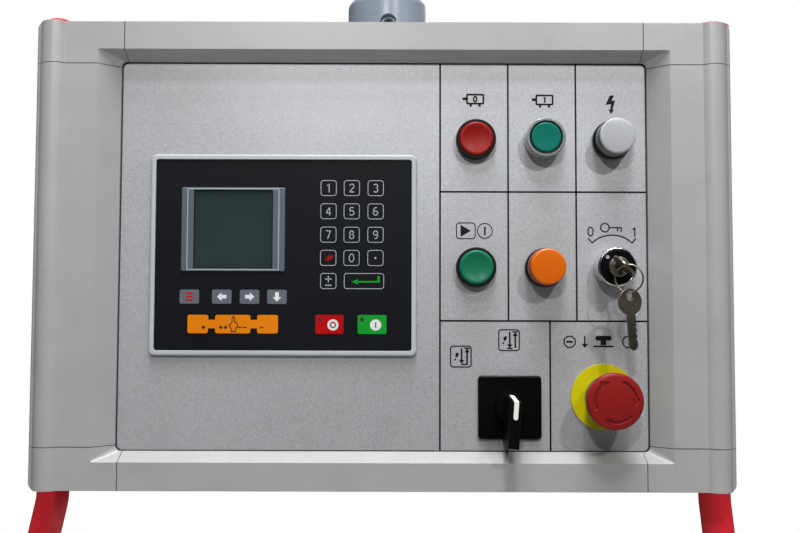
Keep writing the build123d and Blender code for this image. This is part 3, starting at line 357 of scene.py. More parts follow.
def numeral(digit, u, w, height, line):
    """Outlines of one plain numeral centred at (u, w), drawn with strokes of even width."""
    def stroke(u1, w1, u2, w2):
        return [bar(u + u1 * height, w + w1 * height, u + u2 * height, w + w2 * height, line)]

    def curl(cu, cw, radius, start, end, tall=1.0, sign=1):
        return ring_pieces(u + sign * cu * height, w + sign * cw * height, radius * height, line,
                           start, end, 16, tall)

    return {
        "0": lambda: curl(0, 0, 0.27, 0, 360, 1.74),
        "1": lambda: stroke(0.06, -0.5, 0.06, 0.5) + stroke(0.06, 0.47, -0.16, 0.27),
        "2": lambda: curl(0, 0.22, 0.25, 165, -40) + stroke(0.19, 0.06, -0.25, -0.42)
        + stroke(-0.28, -0.45, 0.28, -0.45),
        "3": lambda: curl(0, 0.23, 0.23, 150, -90) + curl(0, -0.22, 0.25, 90, -150),
        "4": lambda: stroke(0.13, -0.5, 0.13, 0.5) + stroke(0.13, 0.48, -0.27, -0.2)
        + stroke(-0.29, -0.22, 0.3, -0.22),
        "5": lambda: stroke(-0.19, 0.45, 0.24, 0.45) + stroke(-0.17, 0.45, -0.22, -0.02)
        + curl(0, -0.18, 0.27, 140, -150),
        "6": lambda: curl(0, -0.2, 0.25, 0, 360) + curl(0.03, 0, 0.28, 70, 195, 1.62),
        "7": lambda: stroke(-0.27, 0.45, 0.27, 0.45) + stroke(0.25, 0.45, -0.08, -0.5),
        "8": lambda: curl(0, 0.24, 0.21, 0, 360) + curl(0, -0.22, 0.25, 0, 360),
        "9": lambda: curl(0, 0.2, 0.25, 0, 360) + curl(-0.03, 0, 0.28, -110, 15, 1.62),
    }[digit]()


columns = (69.6, 121.2, 172.8)
button_row, start_row = 87.7, -9.2
half_panel_w, half_panel_h = 198.6, 146.0
ink = finish("print_ink", coat, (18, 18, 22), 0.5, Mottle=0.12,
             shader_values={"Specular IOR Level": 0.15})
line_width = 1.35
grid = [bar(42.7, -half_panel_h, 42.7, half_panel_h, line_width),
        bar(94.3, -49.3, 94.3, half_panel_h, line_width),
        bar(145.8, -49.3, 145.8, half_panel_h, line_width),
        bar(125.5, -half_panel_h, 125.5, -49.3, line_width),
        bar(42.7, 48.35, half_panel_w, 48.35, line_width),
        bar(42.7, -49.3, half_panel_w, -49.3, line_width)]
plates("panel_grid", grid, 0.0, ink_height, ink, "case")


def motor_symbol(u, w):
    """Outlines of a motor seen from the side: housing, shaft and two feet."""
    return frame_pieces(u, w, 12.4, 6.9, 0.3, 1.35) + [
        bar(u - 9.6, w + 0.2, u - 6.0, w + 0.2, 2.1),
        bar(u - 3.4, w - 3.4, u - 3.4, w - 5.9, 1.7), bar(u + 3.4, w - 3.4, u + 3.4, w - 5.9, 1.7)]


u, w = 172.6, 115.4
bolt = [[(u - 0.6, w + 7.2), (u + 2.7, w + 7.2), (u + 0.7, w + 3.2), (u + 3.4, w + 3.2), (u + 1.2, w - 4.4),
         (u - 0.5, w - 4.4), (u + 0.3, w + 0.4), (u - 3.9, w - 0.2)],
        [(u + 0.1, w - 7.2), (u + 2.9, w - 3.4), (u + 0.5, w - 4.5), (u - 1.9, w - 3.3)]]
lock_arc = 22.1
scale = ring_pieces(columns[2], start_row + 2.9, lock_arc, 1.0, 46.6, 133.4, 30)
for side in (-1, 1):
    end_u = columns[2] + side * lock_arc * math.cos(math.radians(46.6))
    end_w = start_row + 2.9 + lock_arc * math.sin(math.radians(46.6))
    scale.append(bar(end_u, end_w, end_u + side * 2.9, end_w + 3.6, 1.0))
key_sign = ring_pieces(167.4, 21.4, 3.2, 1.0, steps=24) + [
    bar(170.4, 21.4, 180.2, 21.4, 1.0), bar(177.0, 21.4, 177.0, 18.6, 1.0),
    bar(179.7, 21.4, 179.7, 18.0, 1.0)]
start_sign = [[(58.2, 23.3), (58.2, 14.1), (66.0, 18.7)]] + frame_pieces(62.2, 18.7, 14.2, 12.0, 2.4, 0.8) \
    + ring_pieces(76.6, 18.7, 5.6, 0.8, steps=32) + [bar(76.6, 15.4, 76.6, 22.0, 1.3)]


def foot_print(u, w):
    """Outlines of a leaning shoe sole and its heel."""
    sole = [(u + 1.0 * math.cos(t) * (1.15 + 0.25 * math.sin(t)) + 0.5, w + 1.5 + 2.0 * math.sin(t))
            for t in [2 * math.pi * k / 18 for k in range(18)]]
    lean = math.radians(-24)
    turned = [(u + (a - u) * math.cos(lean) - (b - w) * math.sin(lean),
               w + (a - u) * math.sin(lean) + (b - w) * math.cos(lean)) for a, b in sole]
    return [turned, disc_outline(u - 0.3, w - 2.2, 0.75, 14)]


def arrow(u, tail, tip, line=1.3, head=2.0, barred=False):
    """Outlines of an upright arrow, with a bar and a crossing tail at its tip if barred."""
    way = 1 if tip > tail else -1
    run = [bar(u, tail, u, tip - way * 1.2, line),
           [(u - head, tip - way * 2.9), (u + head, tip - way * 2.9), (u, tip)]]
    if barred:
        run += [bar(u - head, tip + way * 0.2, u + head, tip + way * 0.2, 1.1)]
    return run


def stroke_sign(u, w, turning):
    """Outlines of a pedal stroke sign: foot, down arrow and return arrow in a rounded square."""
    sign = frame_pieces(u, w, 15.4, 15.6, 2.0, 0.95) + foot_print(u - 4.0, w)
    sign += arrow(u + 0.6, w + 6.2, w - (5.4 if turning else 6.0), barred=not turning)
    sign += arrow(u + 4.7, w - 5.8, w + 6.0, barred=True)
    if turning:
        sign += [bar(u + 0.2, w - 5.8, u + 5.3, w - 5.8, 1.1)]
    return sign


stop_sign = []
for k in range(8):
    a, b = [math.radians(22.5 + 45 * (k + s)) for s in (0, 1)]
    stop_sign.append([(140.2 + r * math.cos(t), -64.8 + r * math.sin(t))
                      for r, t in ((5.0, a), (5.0, b), (3.9, b), (3.9, a))])
stop_sign += [bar(137.7, -64.8, 142.7, -64.8, 1.5)] + arrow(151.6, -60.4, -69.2, 1.2, 2.5)
stop_sign += [round_box(165.6, -62.0, 12.0, 3.6, 1.5), bar(165.6, -63.6, 165.6, -67.2, 4.4),
              bar(158.0, -68.2, 173.2, -68.2, 1.3)]
stop_sign += ring_pieces(184.4, -64.8, 4.3, 1.0, 60, 350, 26) + [
    [(188.1, -67.8), (190.6, -64.0), (186.4, -63.9)]]
signs = motor_symbol(69.4, 119.4) + motor_symbol(122.2, 118.9) + bolt + scale + key_sign + start_sign \
    + stroke_sign(58.4, -76.1, True) + stroke_sign(94.6, -63.7, False) + stop_sign
for digit, u, w, height, line in (("0", 69.4, 119.4, 4.3, 1.25), ("1", 122.2, 118.9, 4.3, 1.25),
                                  ("0", 156.5, 18.4, 7.2, 1.0), ("1", 189.6, 18.0, 7.2, 1.0)):
    signs += numeral(digit, u, w, height, line)
plates("panel_signs", signs, 0.0, ink_height, ink, "case")

# ---------------------------------------------------------------- controller
# A grey moulded border holds a black printed film over flat keys; a grey frame round
# the display is glued on, with the display's window flush in the film.
film = 3.2               # film's front above the panel
bezel_skin = finish("bezel_grey", coat, (176, 180, 184), 0.42, Mottle=0.03, Bump=0.08)
film_skin = finish("overlay_black", coat, (11, 13, 18), 0.5, Mottle=0.08, Grain=2600.0, Bump=0.1, Specks=0.0,
                   shader_values={"Specular IOR Level": 0.14})
lcd_skin = finish("lcd_grey", coat, (78, 89, 98), 0.4, Mottle=0.04, Bump=0.05)
glass_skin = finish("lcd_glass", coat, (42, 54, 54), 0.1, Mottle=0.07, Bump=0.0,
                    shader_values={"Specular IOR Level": 0.4})
softened("controller_border", "controller_bezel", bezel_skin, 0.3)
softened("controller_film", "controller_overlay", film_skin, 0.25)
softened("display_frame", "lcd_frame", lcd_skin, 0.25)
softened("display_window", "lcd_window", glass_skin, 0.1)
pale_line = finish("lcd_line", coat, (150, 165, 172), 0.4, Mottle=0.04)
lcd_u, lcd_w, lcd_front = -113.0, 19.0, film + 1.6
plates("display_lines", frame_pieces(lcd_u, lcd_w, 68.6, 61.0, 0.5, 0.75),
       lcd_front, lcd_front + 0.08, pale_line, "case")
glass_dark = finish("lcd_border", coat, (26, 33, 32), 0.15, Mottle=0.05, Bump=0.0)
plates("display_border", frame_pieces(lcd_u, lcd_w, 58.9, 58.9, 0.2, 1.1), film, film + 0.1, glass_dark,
       "case")

white_ink = finish("film_white", coat, (160, 166, 174), 0.5, Mottle=0.05)
grey_key = finish("film_key_grey", coat, (88, 95, 103), 0.45, Mottle=0.04)
orange_key = finish("film_key_orange", coat, (218, 122, 4), 0.42, Mottle=0.04,
                      shader_values={"Specular IOR Level": 0.15})
red_key = finish("film_key_red", coat, (174, 6, 8), 0.42, Mottle=0.04,
                      shader_values={"Specular IOR Level": 0.15})
green_key = finish("film_key_green", coat, (16, 146, 42), 0.42, Mottle=0.04,
                      shader_values={"Specular IOR Level": 0.15})
dark_ink = finish("film_dark", coat, (30, 24, 16), 0.5, Mottle=0.05)

number_columns = (-41.5, -24.0, -6.0)
number_rows = (50.5, 32.9, 15.2, -2.3)
outlines = []
for row in number_rows:
    for column in number_columns:
        outlines += frame_pieces(column, row, 11.6, 11.4, 1.9, 0.5)
outlines += frame_pieces(-41.3, -19.7, 11.6, 11.4, 1.9, 0.5)
outlines += frame_pieces(-14.5, -19.7, 29.6, 11.4, 1.9, 0.5)
plates("key_outlines", outlines, film, film + ink_height, white_ink, "case")
digits = numeral("0", number_columns[1], number_rows[3], 6.4, 0.7)
for r in range(3):
    for c in range(3):
        digits += numeral(str(3 * r + c + 1), number_columns[c], number_rows[r], 6.4, 0.7)
plates("key_marks", digits + [disc_outline(number_columns[2], number_rows[3], 0.8, 14),
                     bar(-43.7, -18.2, -38.9, -18.2, 0.8), bar(-41.3, -15.8, -41.3, -20.6, 0.8),
                     bar(-43.7, -22.9, -38.9, -22.9, 0.8)],
       film, film + ink_height, white_ink, "case")
hatch = [bar(-43.6 + 1.5 * k, -4.2, -41.0 + 1.5 * k, -0.6, 0.75) for k in range(3)]
plates("red_hatch", hatch, film, film + ink_height, red_key, "case")
plates("enter_arrow", [bar(-19.5, -20.2, -4.4, -20.2, 1.2), bar(-3.5, -20.8, -3.5, -15.9, 1.8),
                       [(-23.8, -20.2), (-19.0, -18.3), (-19.0, -22.1)]],
       film, film + ink_height, green_key, "case")

grey_row = -31.7
key_top = film + 0.25
grey_places = (-145.4, -121.1, -100.3, -79.7)
plates("grey_keys", [round_box(column, grey_row, 14.6, 10.6, 1.3) for column in grey_places],
       film, key_top, grey_key, "case")
light_ink = finish("film_light", coat, (216, 220, 222), 0.45, Mottle=0.04)


def key_arrow(u, w, turn):
    """Outlines of a stubby arrow pointing along the turn, in degrees."""
    shape = [(3.6, 0), (0.2, 3.3), (0.2, 1.4), (-3.4, 1.4), (-3.4, -1.4), (0.2, -1.4), (0.2, -3.3)]
    t = math.radians(turn)
    return [(u + a * math.cos(t) - b * math.sin(t), w + a * math.sin(t) + b * math.cos(t)) for a, b in shape]


plates("grey_key_arrows", [key_arrow(-121.1, grey_row, 180), key_arrow(-100.3, grey_row, 0),
                           key_arrow(-79.7, grey_row, -90)],
       key_top, key_top + ink_height, light_ink, "case")
plates("grey_key_menu", [bar(-148.0, grey_row + s, -142.8, grey_row + s, 1.15) for s in (-2.6, 0, 2.6)],
       key_top, key_top + ink_height, red_key, "case")

strip_row = -52.2
blobs = ((-138.8, 15.4), (-112.6, 26.4), (-86.6, 15.6))
strip = [round_box(u, strip_row, width, 13.8, 1.6) for u, width in blobs]
strip += [bar(-131.1, strip_row, -125.8, strip_row, 6.4), bar(-99.4, strip_row, -94.4, strip_row, 6.4)]
plates("jog_keys", strip, film, key_top, orange_key, "case")
jog = []
for u in (-134.6, -121.5, -118.0):
    jog += [bar(u - 1.4, strip_row - 2.4, u + 1.4, strip_row - 2.4, 0.95),
            bar(u, strip_row - 3.8, u, strip_row - 1.0, 0.95)]
for u in (-107.4, -103.6, -91.0):
    jog += [bar(u - 1.4, strip_row - 2.4, u + 1.4, strip_row - 2.4, 0.95)]
hand = [(-115.4, -52.8), (-113.3, -51.4), (-113.0, -47.2), (-112.2, -46.4), (-111.4, -47.2), (-111.3, -50.6),
        (-109.6, -51.2), (-108.9, -53.2), (-110.3, -55.6), (-110.4, -57.8), (-113.6, -57.8), (-113.8, -55.6)]
jog += [bar(*a, *b, 0.75) for a, b in zip(hand, hand[1:] + hand[:1])]
plates("jog_signs", jog, key_top, key_top + ink_height, dark_ink, "case")

plates("red_key", [round_box(-40.2, strip_row, 21.0, 14.2, 1.4)], film, key_top, red_key,
       "case")
plates("green_key", [round_box(-8.3, strip_row, 21.6, 14.2, 1.4)], film, key_top, green_key,
       "case")
plates("key_lights", [disc_outline(-47.5, -48.5, 1.55, 18), disc_outline(-15.9, -48.5, 1.55, 18)],
       key_top, key_top + ink_height, dark_ink, "case")
plates("stop_start_marks",
       [disc_outline(-37.6, strip_row - 0.4, 4.2), disc_outline(-5.6, strip_row - 0.4, 4.2)],
       key_top, key_top + ink_height, light_ink, "case")
plates("stop_mark", ring_pieces(-37.6, strip_row - 0.4, 1.9, 1.0, steps=24),
       key_top + ink_height, key_top + 2 * ink_height, red_key, "case")
plates("start_mark", [bar(-5.6, strip_row - 2.6, -5.6, strip_row + 1.8, 1.1)],
       key_top + ink_height, key_top + 2 * ink_height, green_key, "case")

# ---------------------------------------------------------------- pushbuttons
# Moulded caps in black bezels; the lit one has a smoky clear collar.  Each is held by
# a nut behind the panel.


def lathe(profile, u, w, steps=96, ribs=0, depth=0.0, sunk=None):
    """Surface of revolution about a line square to the panel at (u, w), closed at both poles.

    Row k is (radius, out, share).  Point (k, j): t = 2 pi j / steps,
    r = radius - share * depth * (1 + cos(ribs t)) / 2, u' = u + r cos t, w' = w + r sin t,
    and its height is out - sunk(r, t) where a relief is given."""
    points, faces, rows = [], [], []
    for row in profile:
        radius, height, share = (*row, 0)[:3]
        rows.append(len(points))
        if radius == 0:
            points.append(spot(u, w, height))
            continue
        for j in range(steps):
            t = 2 * math.pi * j / steps
            r = radius - share * depth * (1 + math.cos(ribs * t)) / 2
            low = sunk(r, t) if sunk and share == 0 else 0.0
            points.append(spot(u + r * math.cos(t), w + r * math.sin(t), height - low))
    for k in range(len(profile) - 1):
        a, b = rows[k], rows[k + 1]
        for j in range(steps):
            n = (j + 1) % steps
            if profile[k][0] == 0:
                faces.append([a, b + j, b + n])
            elif profile[k + 1][0] == 0:
                faces.append([a + j, b, a + n])
            else:
                faces.append([a + j, b + j, b + n, a + n])
    return points, faces


def turned(name, profile, place, skin, body, slot, stands_for=(), **options):
    """Lathed piece with smooth shading."""
    points, faces = lathe(profile, *place, **options)
    mesh = bpy.data.meshes.new(name)
    mesh.from_pydata(points, [], faces)
    work = bmesh.new()
    work.from_mesh(mesh)
    bmesh.ops.recalc_face_normals(work, faces=work.faces)
    work.to_mesh(mesh)
    work.free()
    for face in mesh.polygons:
        face.use_smooth = True
    obj = shown(name, mesh, skin, body)
    if stands_for:
        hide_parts(*stands_for)
    return obj


def arc_rows(centre_r, centre_out, radius, start, end, steps=6, share=0):
    """Profile rows along a circular arc, angles in degrees from outward radius towards the front."""
    return [(centre_r + radius * math.cos(math.radians(start + (end - start) * k / steps)),
             centre_out + radius * math.sin(math.radians(start + (end - start) * k / steps)), share)
            for k in range(steps + 1)]


def cap_profile(radius, back, front, dish, lip, stem=5.0, depth=-15.0):
    """Profile of a dished cap with a rounded lip and its stem, from the front pole to the back pole."""
    rows = [(0, front - dish)]
    for k in range(1, 9):
        r = (radius - lip) * k / 8
        rows.append((r, front - dish * (1 - (k / 8) ** 2.4) ** 1.1))
    rows += arc_rows(radius - lip, front - lip, lip, 78, 0, 7)
    rows += [(radius, back + 0.3), (radius - 0.3, back), (stem, back), (stem, depth), (0, depth)]
    return rows


matt = {"Specular IOR Level": 0.18}
moulded = dict(Mottle=0.04, Grain=2600.0, Bump=0.04, Smear=0.05, shader_values=matt)
black_plastic = finish("device_black", coat, (16, 16, 18), 0.42, **moulded)
red_cap = finish("button_red", coat, (136, 22, 20), 0.36, **moulded)
green_cap = finish("button_green", coat, (20, 106, 76), 0.36, **moulded)
teal_cap = finish("button_teal", coat, (0, 106, 92), 0.3, **moulded)
clear_skin = finish("collar_clear", coat, (176, 184, 182), 0.08, Mottle=0.02, Bump=0.02,
                    shader_values={"Transmission Weight": 0.5, "IOR": 1.45})
softened("button_rings", "button_bezels", black_plastic, 0.3)
softened("lit_collar", "lit_button_collar", clear_skin, 0.3)
turned("red_button", cap_profile(12.9, 5.8, 9.6, 1.5, 1.9), (columns[0], button_row), red_cap,
       "motor_off_button", "button_red", ["motor_off_cap"])
turned("green_button", cap_profile(12.9, 5.8, 9.6, 1.5, 1.9), (columns[0], start_row), green_cap,
       "start_button", "button_green", ["start_cap"])
turned("lit_button", cap_profile(11.1, 5.8, 15.6, 0.25, 0.9), (columns[1], button_row), teal_cap,
       "motor_on_button", "button_teal", ["motor_on_cap"])
turned("lit_button_ring", [(12.2, 15.1), (12.2, 6.0), (11.15, 6.0), (11.15, 15.1), (12.2, 15.1)],
       (columns[1], button_row), black_plastic, "motor_on_button", "device_black")

# ---------------------------------------------------------------- signal lamps
# Moulded lenses with skirts, screwed on black bases with ribbed rims.  A lens's
# face is the bright cap; its skirt is a grey or brown band behind it, darker partly by its own tint and
# partly by painted shade.
white_skin = finish("lens_white", coat, (172, 174, 180), 0.28, Mottle=0.02, Bump=0.02,
                    shader_values={"Subsurface Weight": 0.25, "Subsurface Scale": 0.004})
amber_skin = finish("lens_amber", coat, (208, 98, 2), 0.26, Mottle=0.03, Bump=0.02,
                    shader_values={"Subsurface Weight": 0.25, "Subsurface Scale": 0.003})
# skirt colours are darker copies of the lens colours: partly the skirt's own tint, partly painted shade
shaded_skirts = {"white": finish("skirt_white", coat, (104, 108, 108), 0.22, Mottle=0.04, Bump=0.02,
                          shader_values={"Transmission Weight": 0.25}),
          "amber": finish("skirt_amber", coat, (150, 62, 6), 0.22, Mottle=0.04, Bump=0.02,
                          shader_values={"Transmission Weight": 0.25})}
lamp_rim = [(0, 1.5), (12.4, 1.5), (12.4, 6.5), (13.6, 6.5, 0)] + [(14.8, 5.9, 1), (14.8, 0.9, 1)] + \
    [(14.2, 0.0), (10.8, 0.0), (10.8, -16.0), (0, -16.0)]
for word, place, skin in (("white", (columns[2], button_row), white_skin),
                          ("amber", (columns[1], start_row), amber_skin)):
    turned(f"{word}_lamp_base", lamp_rim, place, black_plastic, "case", "device_black", steps=288, ribs=72,
           depth=0.5)
    low, high = 6.5, 23.0
    back = high - 3.6
    lens = [(0, high)] + [(12.0 * k / 5, high - 0.35 * (k / 5) ** 2) for k in range(1, 6)] \
        + arc_rows(12.0, high - 1.5, 1.15, 72, 0, 5) + [(13.15, high - 3.4), (12.3, back), (0, back)]
    turned(f"{word}_lamp", lens, place, skin, "case", f"lens_{word}", [f"{word}_lens"])
    skirt = [(0, back), (12.9, back), (13.5, high - 4.2), (13.8, low + 1.2), (13.3, low), (12.4, low),
             (12.4, low - 4), (0, low - 4)]
    turned(f"{word}_lamp_skirt", skirt, place, shaded_skirts[word], "case", f"lens_{word}")
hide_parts("lamp_bases")

# ---------------------------------------------------------------- key switch
# Chromed bezel, black face ring and a steel cylinder; the key stands in it, and a
# spring-steel ring carries a second key.
chrome = finish("lock_chrome", coat, (205, 205, 210), 0.16, metallic=1.0, Mottle=0.04, Bump=0.02, Smear=0.04)
nickel = finish("key_nickel", coat, (134, 128, 116), 0.34, metallic=1.0, Mottle=0.12, Grain=900.0, Bump=0.08,
                Smear=0.1)
satin_black = finish("selector_black", coat, (6, 6, 7), 0.32, Mottle=0.06, Grain=2400.0, Bump=0.06,
                     Specks=0.15, Smear=0.08, shader_values={"Specular IOR Level": 0.12})
softened("lock_ring", "lock_bezel", chrome, 0.25)
softened("lock_face_ring", "lock_face", satin_black, 0.2)
softened("lock_cylinder_steel", "lock_barrel", nickel, 0.2)
softened("key_in_lock", "switch_key", nickel, 0.22)
softened("key_spare", "spare_key", nickel, 0.22)
softened("split_ring", "key_ring", nickel, 0.0001, angle=80)
lock = (columns[2], start_row)
dot = lathe([(0, 17.35), (1.35, 17.35), (1.35, 17.0), (0, 17.0)], lock[0] - 7.3, lock[1] + 7.3, steps=24)
mesh = bpy.data.meshes.new("lock_dot")
mesh.from_pydata(dot[0], [], dot[1])
shown("lock_dot", mesh, white_ink, "case")

# ---------------------------------------------------------------- mode selector
# Black moulded plate and pointer handle; the white line is paint in a groove.
softened("selector_base_plate", "selector_plate", satin_black, 0.3)
softened("selector_pointer", "selector_handle", satin_black, 0.35)

selector_u, selector_w, lean = 94.8, -113.8, math.radians(-4)
paint_line = finish("selector_line", coat, (228, 228, 222), 0.5, Mottle=0.05)
line_path = [(9.72, 9.0, 1.65), (7.78, 39.8, 1.65), (7.36, 40.71, 1.65), (6.45, 41.07, 1.65),
             (-3.6, 41.07, 1.65)] \
    + [(-3.6 - 1.65 * math.sin(t), 41.07, 1.65 * math.cos(t)) for t in (0.4, 0.8, 1.15, 1.45)]
points, faces = [], []
for along, height, half in line_path:
    for side, sink in ((-1, 0.0), (1, 0.0), (1, 0.35), (-1, 0.35)):
        back, across = along - (sink if along > 7 else 0.0), side * half
        points.append(spot(selector_u + across * math.cos(lean) - back * math.sin(lean),
                           selector_w + across * math.sin(lean) + back * math.cos(lean),
                           height - (sink if along < 7.5 else 0.0)))
for k in range(len(line_path) - 1):
    faces += [[4 * k + s, 4 * k + (s + 1) % 4, 4 * k + 4 + (s + 1) % 4, 4 * k + 4 + s] for s in range(4)]
faces += [[3, 2, 1, 0], [4 * len(line_path) - 4 + s for s in range(4)]]
mesh = bpy.data.meshes.new("selector_line")
mesh.from_pydata(points, [], faces)
shown("selector_line", mesh, paint_line, "mode_handle")

# ---------------------------------------------------------------- emergency stop
# Yellow disc under a ribbed grey collar; the red head has a knurled rim and three
# arrows sunk in its face.
yellow = finish("disc_yellow", coat, (200, 190, 2), 0.4, **moulded)
collar_skin = finish("collar_grey", coat, (98, 102, 80), 0.45, **moulded)
stop_red = finish("estop_red", coat, (130, 24, 24), 0.42, **moulded)
stop = (165.4, -106.0)
softened("stop_disc", "estop_disc", yellow, 0.15)
turned("stop_collar", [(0, 20.2), (8.4, 20.2), (8.4, 21.0), (16.2, 21.0), (17.0, 20.2, 1), (17.0, 13.2, 1),
                       (16.2, 12.5), (13.6, 12.5), (13.6, 1.2), (10.8, 1.2), (10.8, -16.0), (0, -16.0)],
       stop, collar_skin, "case", "collar_grey", ["estop_collar"], steps=432, ribs=108, depth=0.5)

arrow_radius, arrow_width, arrow_head = 14.7, 2.3, 5.6
arrow_head_half, arrow_depth, arrow_edge = 3.2, 1.1, 0.35
arrow_starts, arrow_span = (203.0, 71.0, -42.0), (96.0, 84.0, 83.0)


def arrow_relief(r, t):
    """Depth of the three sunk arrows at radius r and angle t, all running clockwise.

    a is the distance along the arc from an arrow's tail; the shaft has an even width, and the
    head's half width shrinks evenly to its tip.  Depth rises smoothly over arrow_edge millimetres
    inside the outline."""
    inside = -1.0
    for start, span in zip(arrow_starts, arrow_span):
        run = (start - math.degrees(t)) % 360
        length = math.radians(span) * arrow_radius
        a = math.radians(run) * arrow_radius
        if a > length:
            continue
        side = abs(r - arrow_radius)
        if a < length - arrow_head:
            inside = max(inside, min(arrow_width / 2 - side, a))
        else:
            inside = max(inside, (arrow_head_half * (length - a) / arrow_head - side) * 0.9)
    step = min(max(inside / arrow_edge, 0.0), 1.0)
    return arrow_depth * step * step * (3 - 2 * step)


head_front, head_back, head_radius = 42.0, 27.0, 20.4
head_skirt, head_draw = 7.0, 3.2         # the head narrows towards its back
head_rows = [(0, head_front)] + [(2.0 * k, head_front - 0.9 * (2.0 * k / 17) ** 2) for k in range(1, 6)]
head_rows += [(11.0 + 0.22 * k, head_front - 0.9 * ((11.0 + 0.22 * k) / 17) ** 2) for k in range(31)]
head_rows += [(r, o, 1 if a > 6 else 0) for a, (r, o, _) in
              enumerate(arc_rows(head_radius - 2.6, head_front - 3.55, 2.6, 84, 0, 9))][1:]
head_rows += [(head_radius, head_front - 5.0, 1), (head_radius, head_back + head_skirt, 1),
              (head_radius - head_draw, head_back, 0.2), (5.1, head_back), (5.1, head_back + 7.5),
              (0, head_back + 7.5)]
turned("stop_button", head_rows, stop, stop_red, "stop_head", "estop_red", ["estop_head"],
       steps=540, ribs=108, depth=0.45, sunk=arrow_relief)

# ---------------------------------------------------------------- handles and coupling
# Red coated steel tubes with domed plugs; a cast swivel in blue-grey hammer paint.
handle_skin = finish("handle_red", coat, (226, 44, 56), 0.26, Mottle=0.03, Grain=500.0, Bump=0.06)
cap_skin = finish("cap_red", coat, (218, 40, 54), 0.3, Mottle=0.03, Bump=0.04)
drum_skin = finish("coupling_paint", coat, (128, 138, 150), 0.3, Mottle=0.05, Grain=700.0, Bump=0.15)
softened("left_handle_tube", "handle_left", handle_skin, 0.3)
softened("right_handle_tube", "handle_right", handle_skin, 0.3)
softened("handle_plugs", "handle_caps", cap_skin, 0.2)
softened("drum", "coupling_drum", drum_skin, 0.4)
softened("socket", "arm_socket", drum_skin, 0.4)

# ---------------------------------------------------------------- case and inner pieces
# Painted sheet-steel case; the pieces inside keep their CAD shapes.
case_skin = finish("case_paint", coat, (150, 150, 149), 0.5, Mottle=0.04, Bump=0.2)
softened("case_box", "case_shell", case_skin, 0.5)
softened("case_cover", "rear_cover", case_skin, 0.3)
softened("tube_brackets", "handle_brackets", case_skin, 0.5)
skins = {
    "frame_paint": frame_paint, "case_paint": case_skin, "panel_aluminium": panel_skin,
    "gasket_rubber": rubber, "coupling_paint": drum_skin, "handle_red": handle_skin, "cap_red": cap_skin,
    "bezel_grey": bezel_skin, "overlay_black": film_skin, "lcd_grey": lcd_skin, "lcd_glass": glass_skin,
    "device_black": black_plastic, "button_red": red_cap, "button_green": green_cap,
    "button_teal": teal_cap, "collar_clear": clear_skin, "lens_white": white_skin,
    "lens_amber": amber_skin, "lock_chrome": chrome, "key_nickel": nickel, "selector_black": satin_black,
    "disc_yellow": yellow, "estop_red": stop_red, "collar_grey": collar_skin,
    "zinc_steel": finish("zinc_steel", coat, (170, 172, 172), 0.35, metallic=1.0, Mottle=0.08, Grain=800.0),
    "black_steel": finish("black_steel", coat, (34, 34, 36), 0.4, metallic=0.6, Mottle=0.08, Grain=800.0),
    "housing_black": finish("housing_black", coat, (34, 35, 37), 0.5, **moulded),
    "board_green": finish("board_green", coat, (24, 84, 52), 0.4, **moulded),
    "plug_green": finish("plug_green", coat, (46, 140, 74), 0.4, **moulded),
    "bulb_glass": finish("bulb_glass", coat, (225, 226, 220), 0.2, Mottle=0.02, Bump=0.0),
}
for cad in frame["nodes"].values():
    slot_name = cad.data.materials[0].name.split(".")[0]
    cad.data.materials[0] = skins[slot_name]

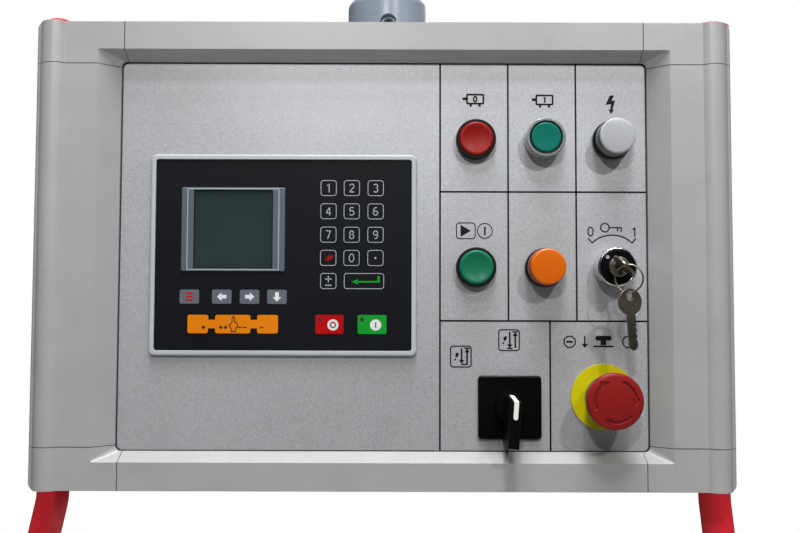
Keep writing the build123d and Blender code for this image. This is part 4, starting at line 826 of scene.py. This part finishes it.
# ---------------------------------------------------------------- stage, light and camera
# A pale floor well below the hanging pendant, four lamps in front of it, one above and
# one behind.
floor_mesh = bpy.data.meshes.new("floor")
floor_mesh.from_pydata([(-3, -3, -1.9), (3, -3, -1.9), (3, 3, -1.9), (-3, 3, -1.9)], [], [(0, 1, 2, 3)])
floor = bpy.data.objects.new("floor", floor_mesh)
bpy.context.collection.objects.link(floor)
floor_mesh.materials.append(finish("floor", coat, (226, 226, 224), 0.6, Mottle=0.02))
floor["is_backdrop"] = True


def lamp(name, way, distance, size, power, colour=(1, 1, 1)):
    """Square area light, way being its direction from the panel's middle."""
    data = bpy.data.lights.new(name, "AREA")
    data.size = size
    data.energy = power
    data.color = colour
    obj = bpy.data.objects.new(name, data)
    aim = Vector(spot(0, 0))
    obj.location = aim + Vector(way).normalized() * distance
    obj.rotation_euler = (-Vector(way)).to_track_quat("-Z", "Y").to_euler()
    bpy.context.collection.objects.link(obj)


lamp("lamp_right", (0.40, -1.0, 0.62), 2.2, 0.09, 12.4, (1, 0.99, 0.98))
lamp("lamp_left", (-0.12, -1.0, 0.46), 2.2, 0.09, 11.0, (1, 0.99, 0.98))
lamp("lamp_side", (1.2, -1.0, 0.55), 2.4, 0.2, 2.0, (1, 0.99, 0.98))
lamp("lamp_high", (0.05, -1.0, 1.5), 2.2, 0.25, 17.0, (1, 1, 1))
lamp("ceiling", (0.0, -0.19, 0.98), 2.2, 1.0, 74.0, (1, 1, 1))
lamp("back_fill", (0.6, 1.0, 0.5), 2.4, 1.4, 40.0, (1, 1, 1))

world = bpy.data.worlds.new("studio")
bpy.context.scene.world = world
world.use_nodes = True
tree = world.node_tree
tree.nodes.clear()
seen = node(tree, "LightPath").outputs["Is Camera Ray"]
plain = node(tree, "Background", {"Color": (1, 1, 1, 1), "Strength": 1.0})
around = node(tree, "Background", {"Color": (0.93, 0.96, 1, 1), "Strength": 0.05})
mixed = node(tree, "MixShader", {0: seen, 1: around.outputs[0], 2: plain.outputs[0]})
end = node(tree, "OutputWorld", {"Surface": mixed.outputs[0]})

camera_data = bpy.data.cameras.new("camera")
camera_data.lens = 42.62
camera_data.sensor_width = 36
camera_data.clip_start = 0.01
camera = bpy.data.objects.new("camera", camera_data)
camera.location = (0.00984, -0.79107, -0.33242)
camera.rotation_euler = Euler((math.radians(90 + 3.01), math.radians(-0.17), math.radians(-0.03)))
bpy.context.collection.objects.link(camera)
bpy.context.scene.camera = camera
bpy.context.scene.view_settings.view_transform = "Standard"
bpy.context.scene.view_settings.look = "None"

low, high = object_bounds()
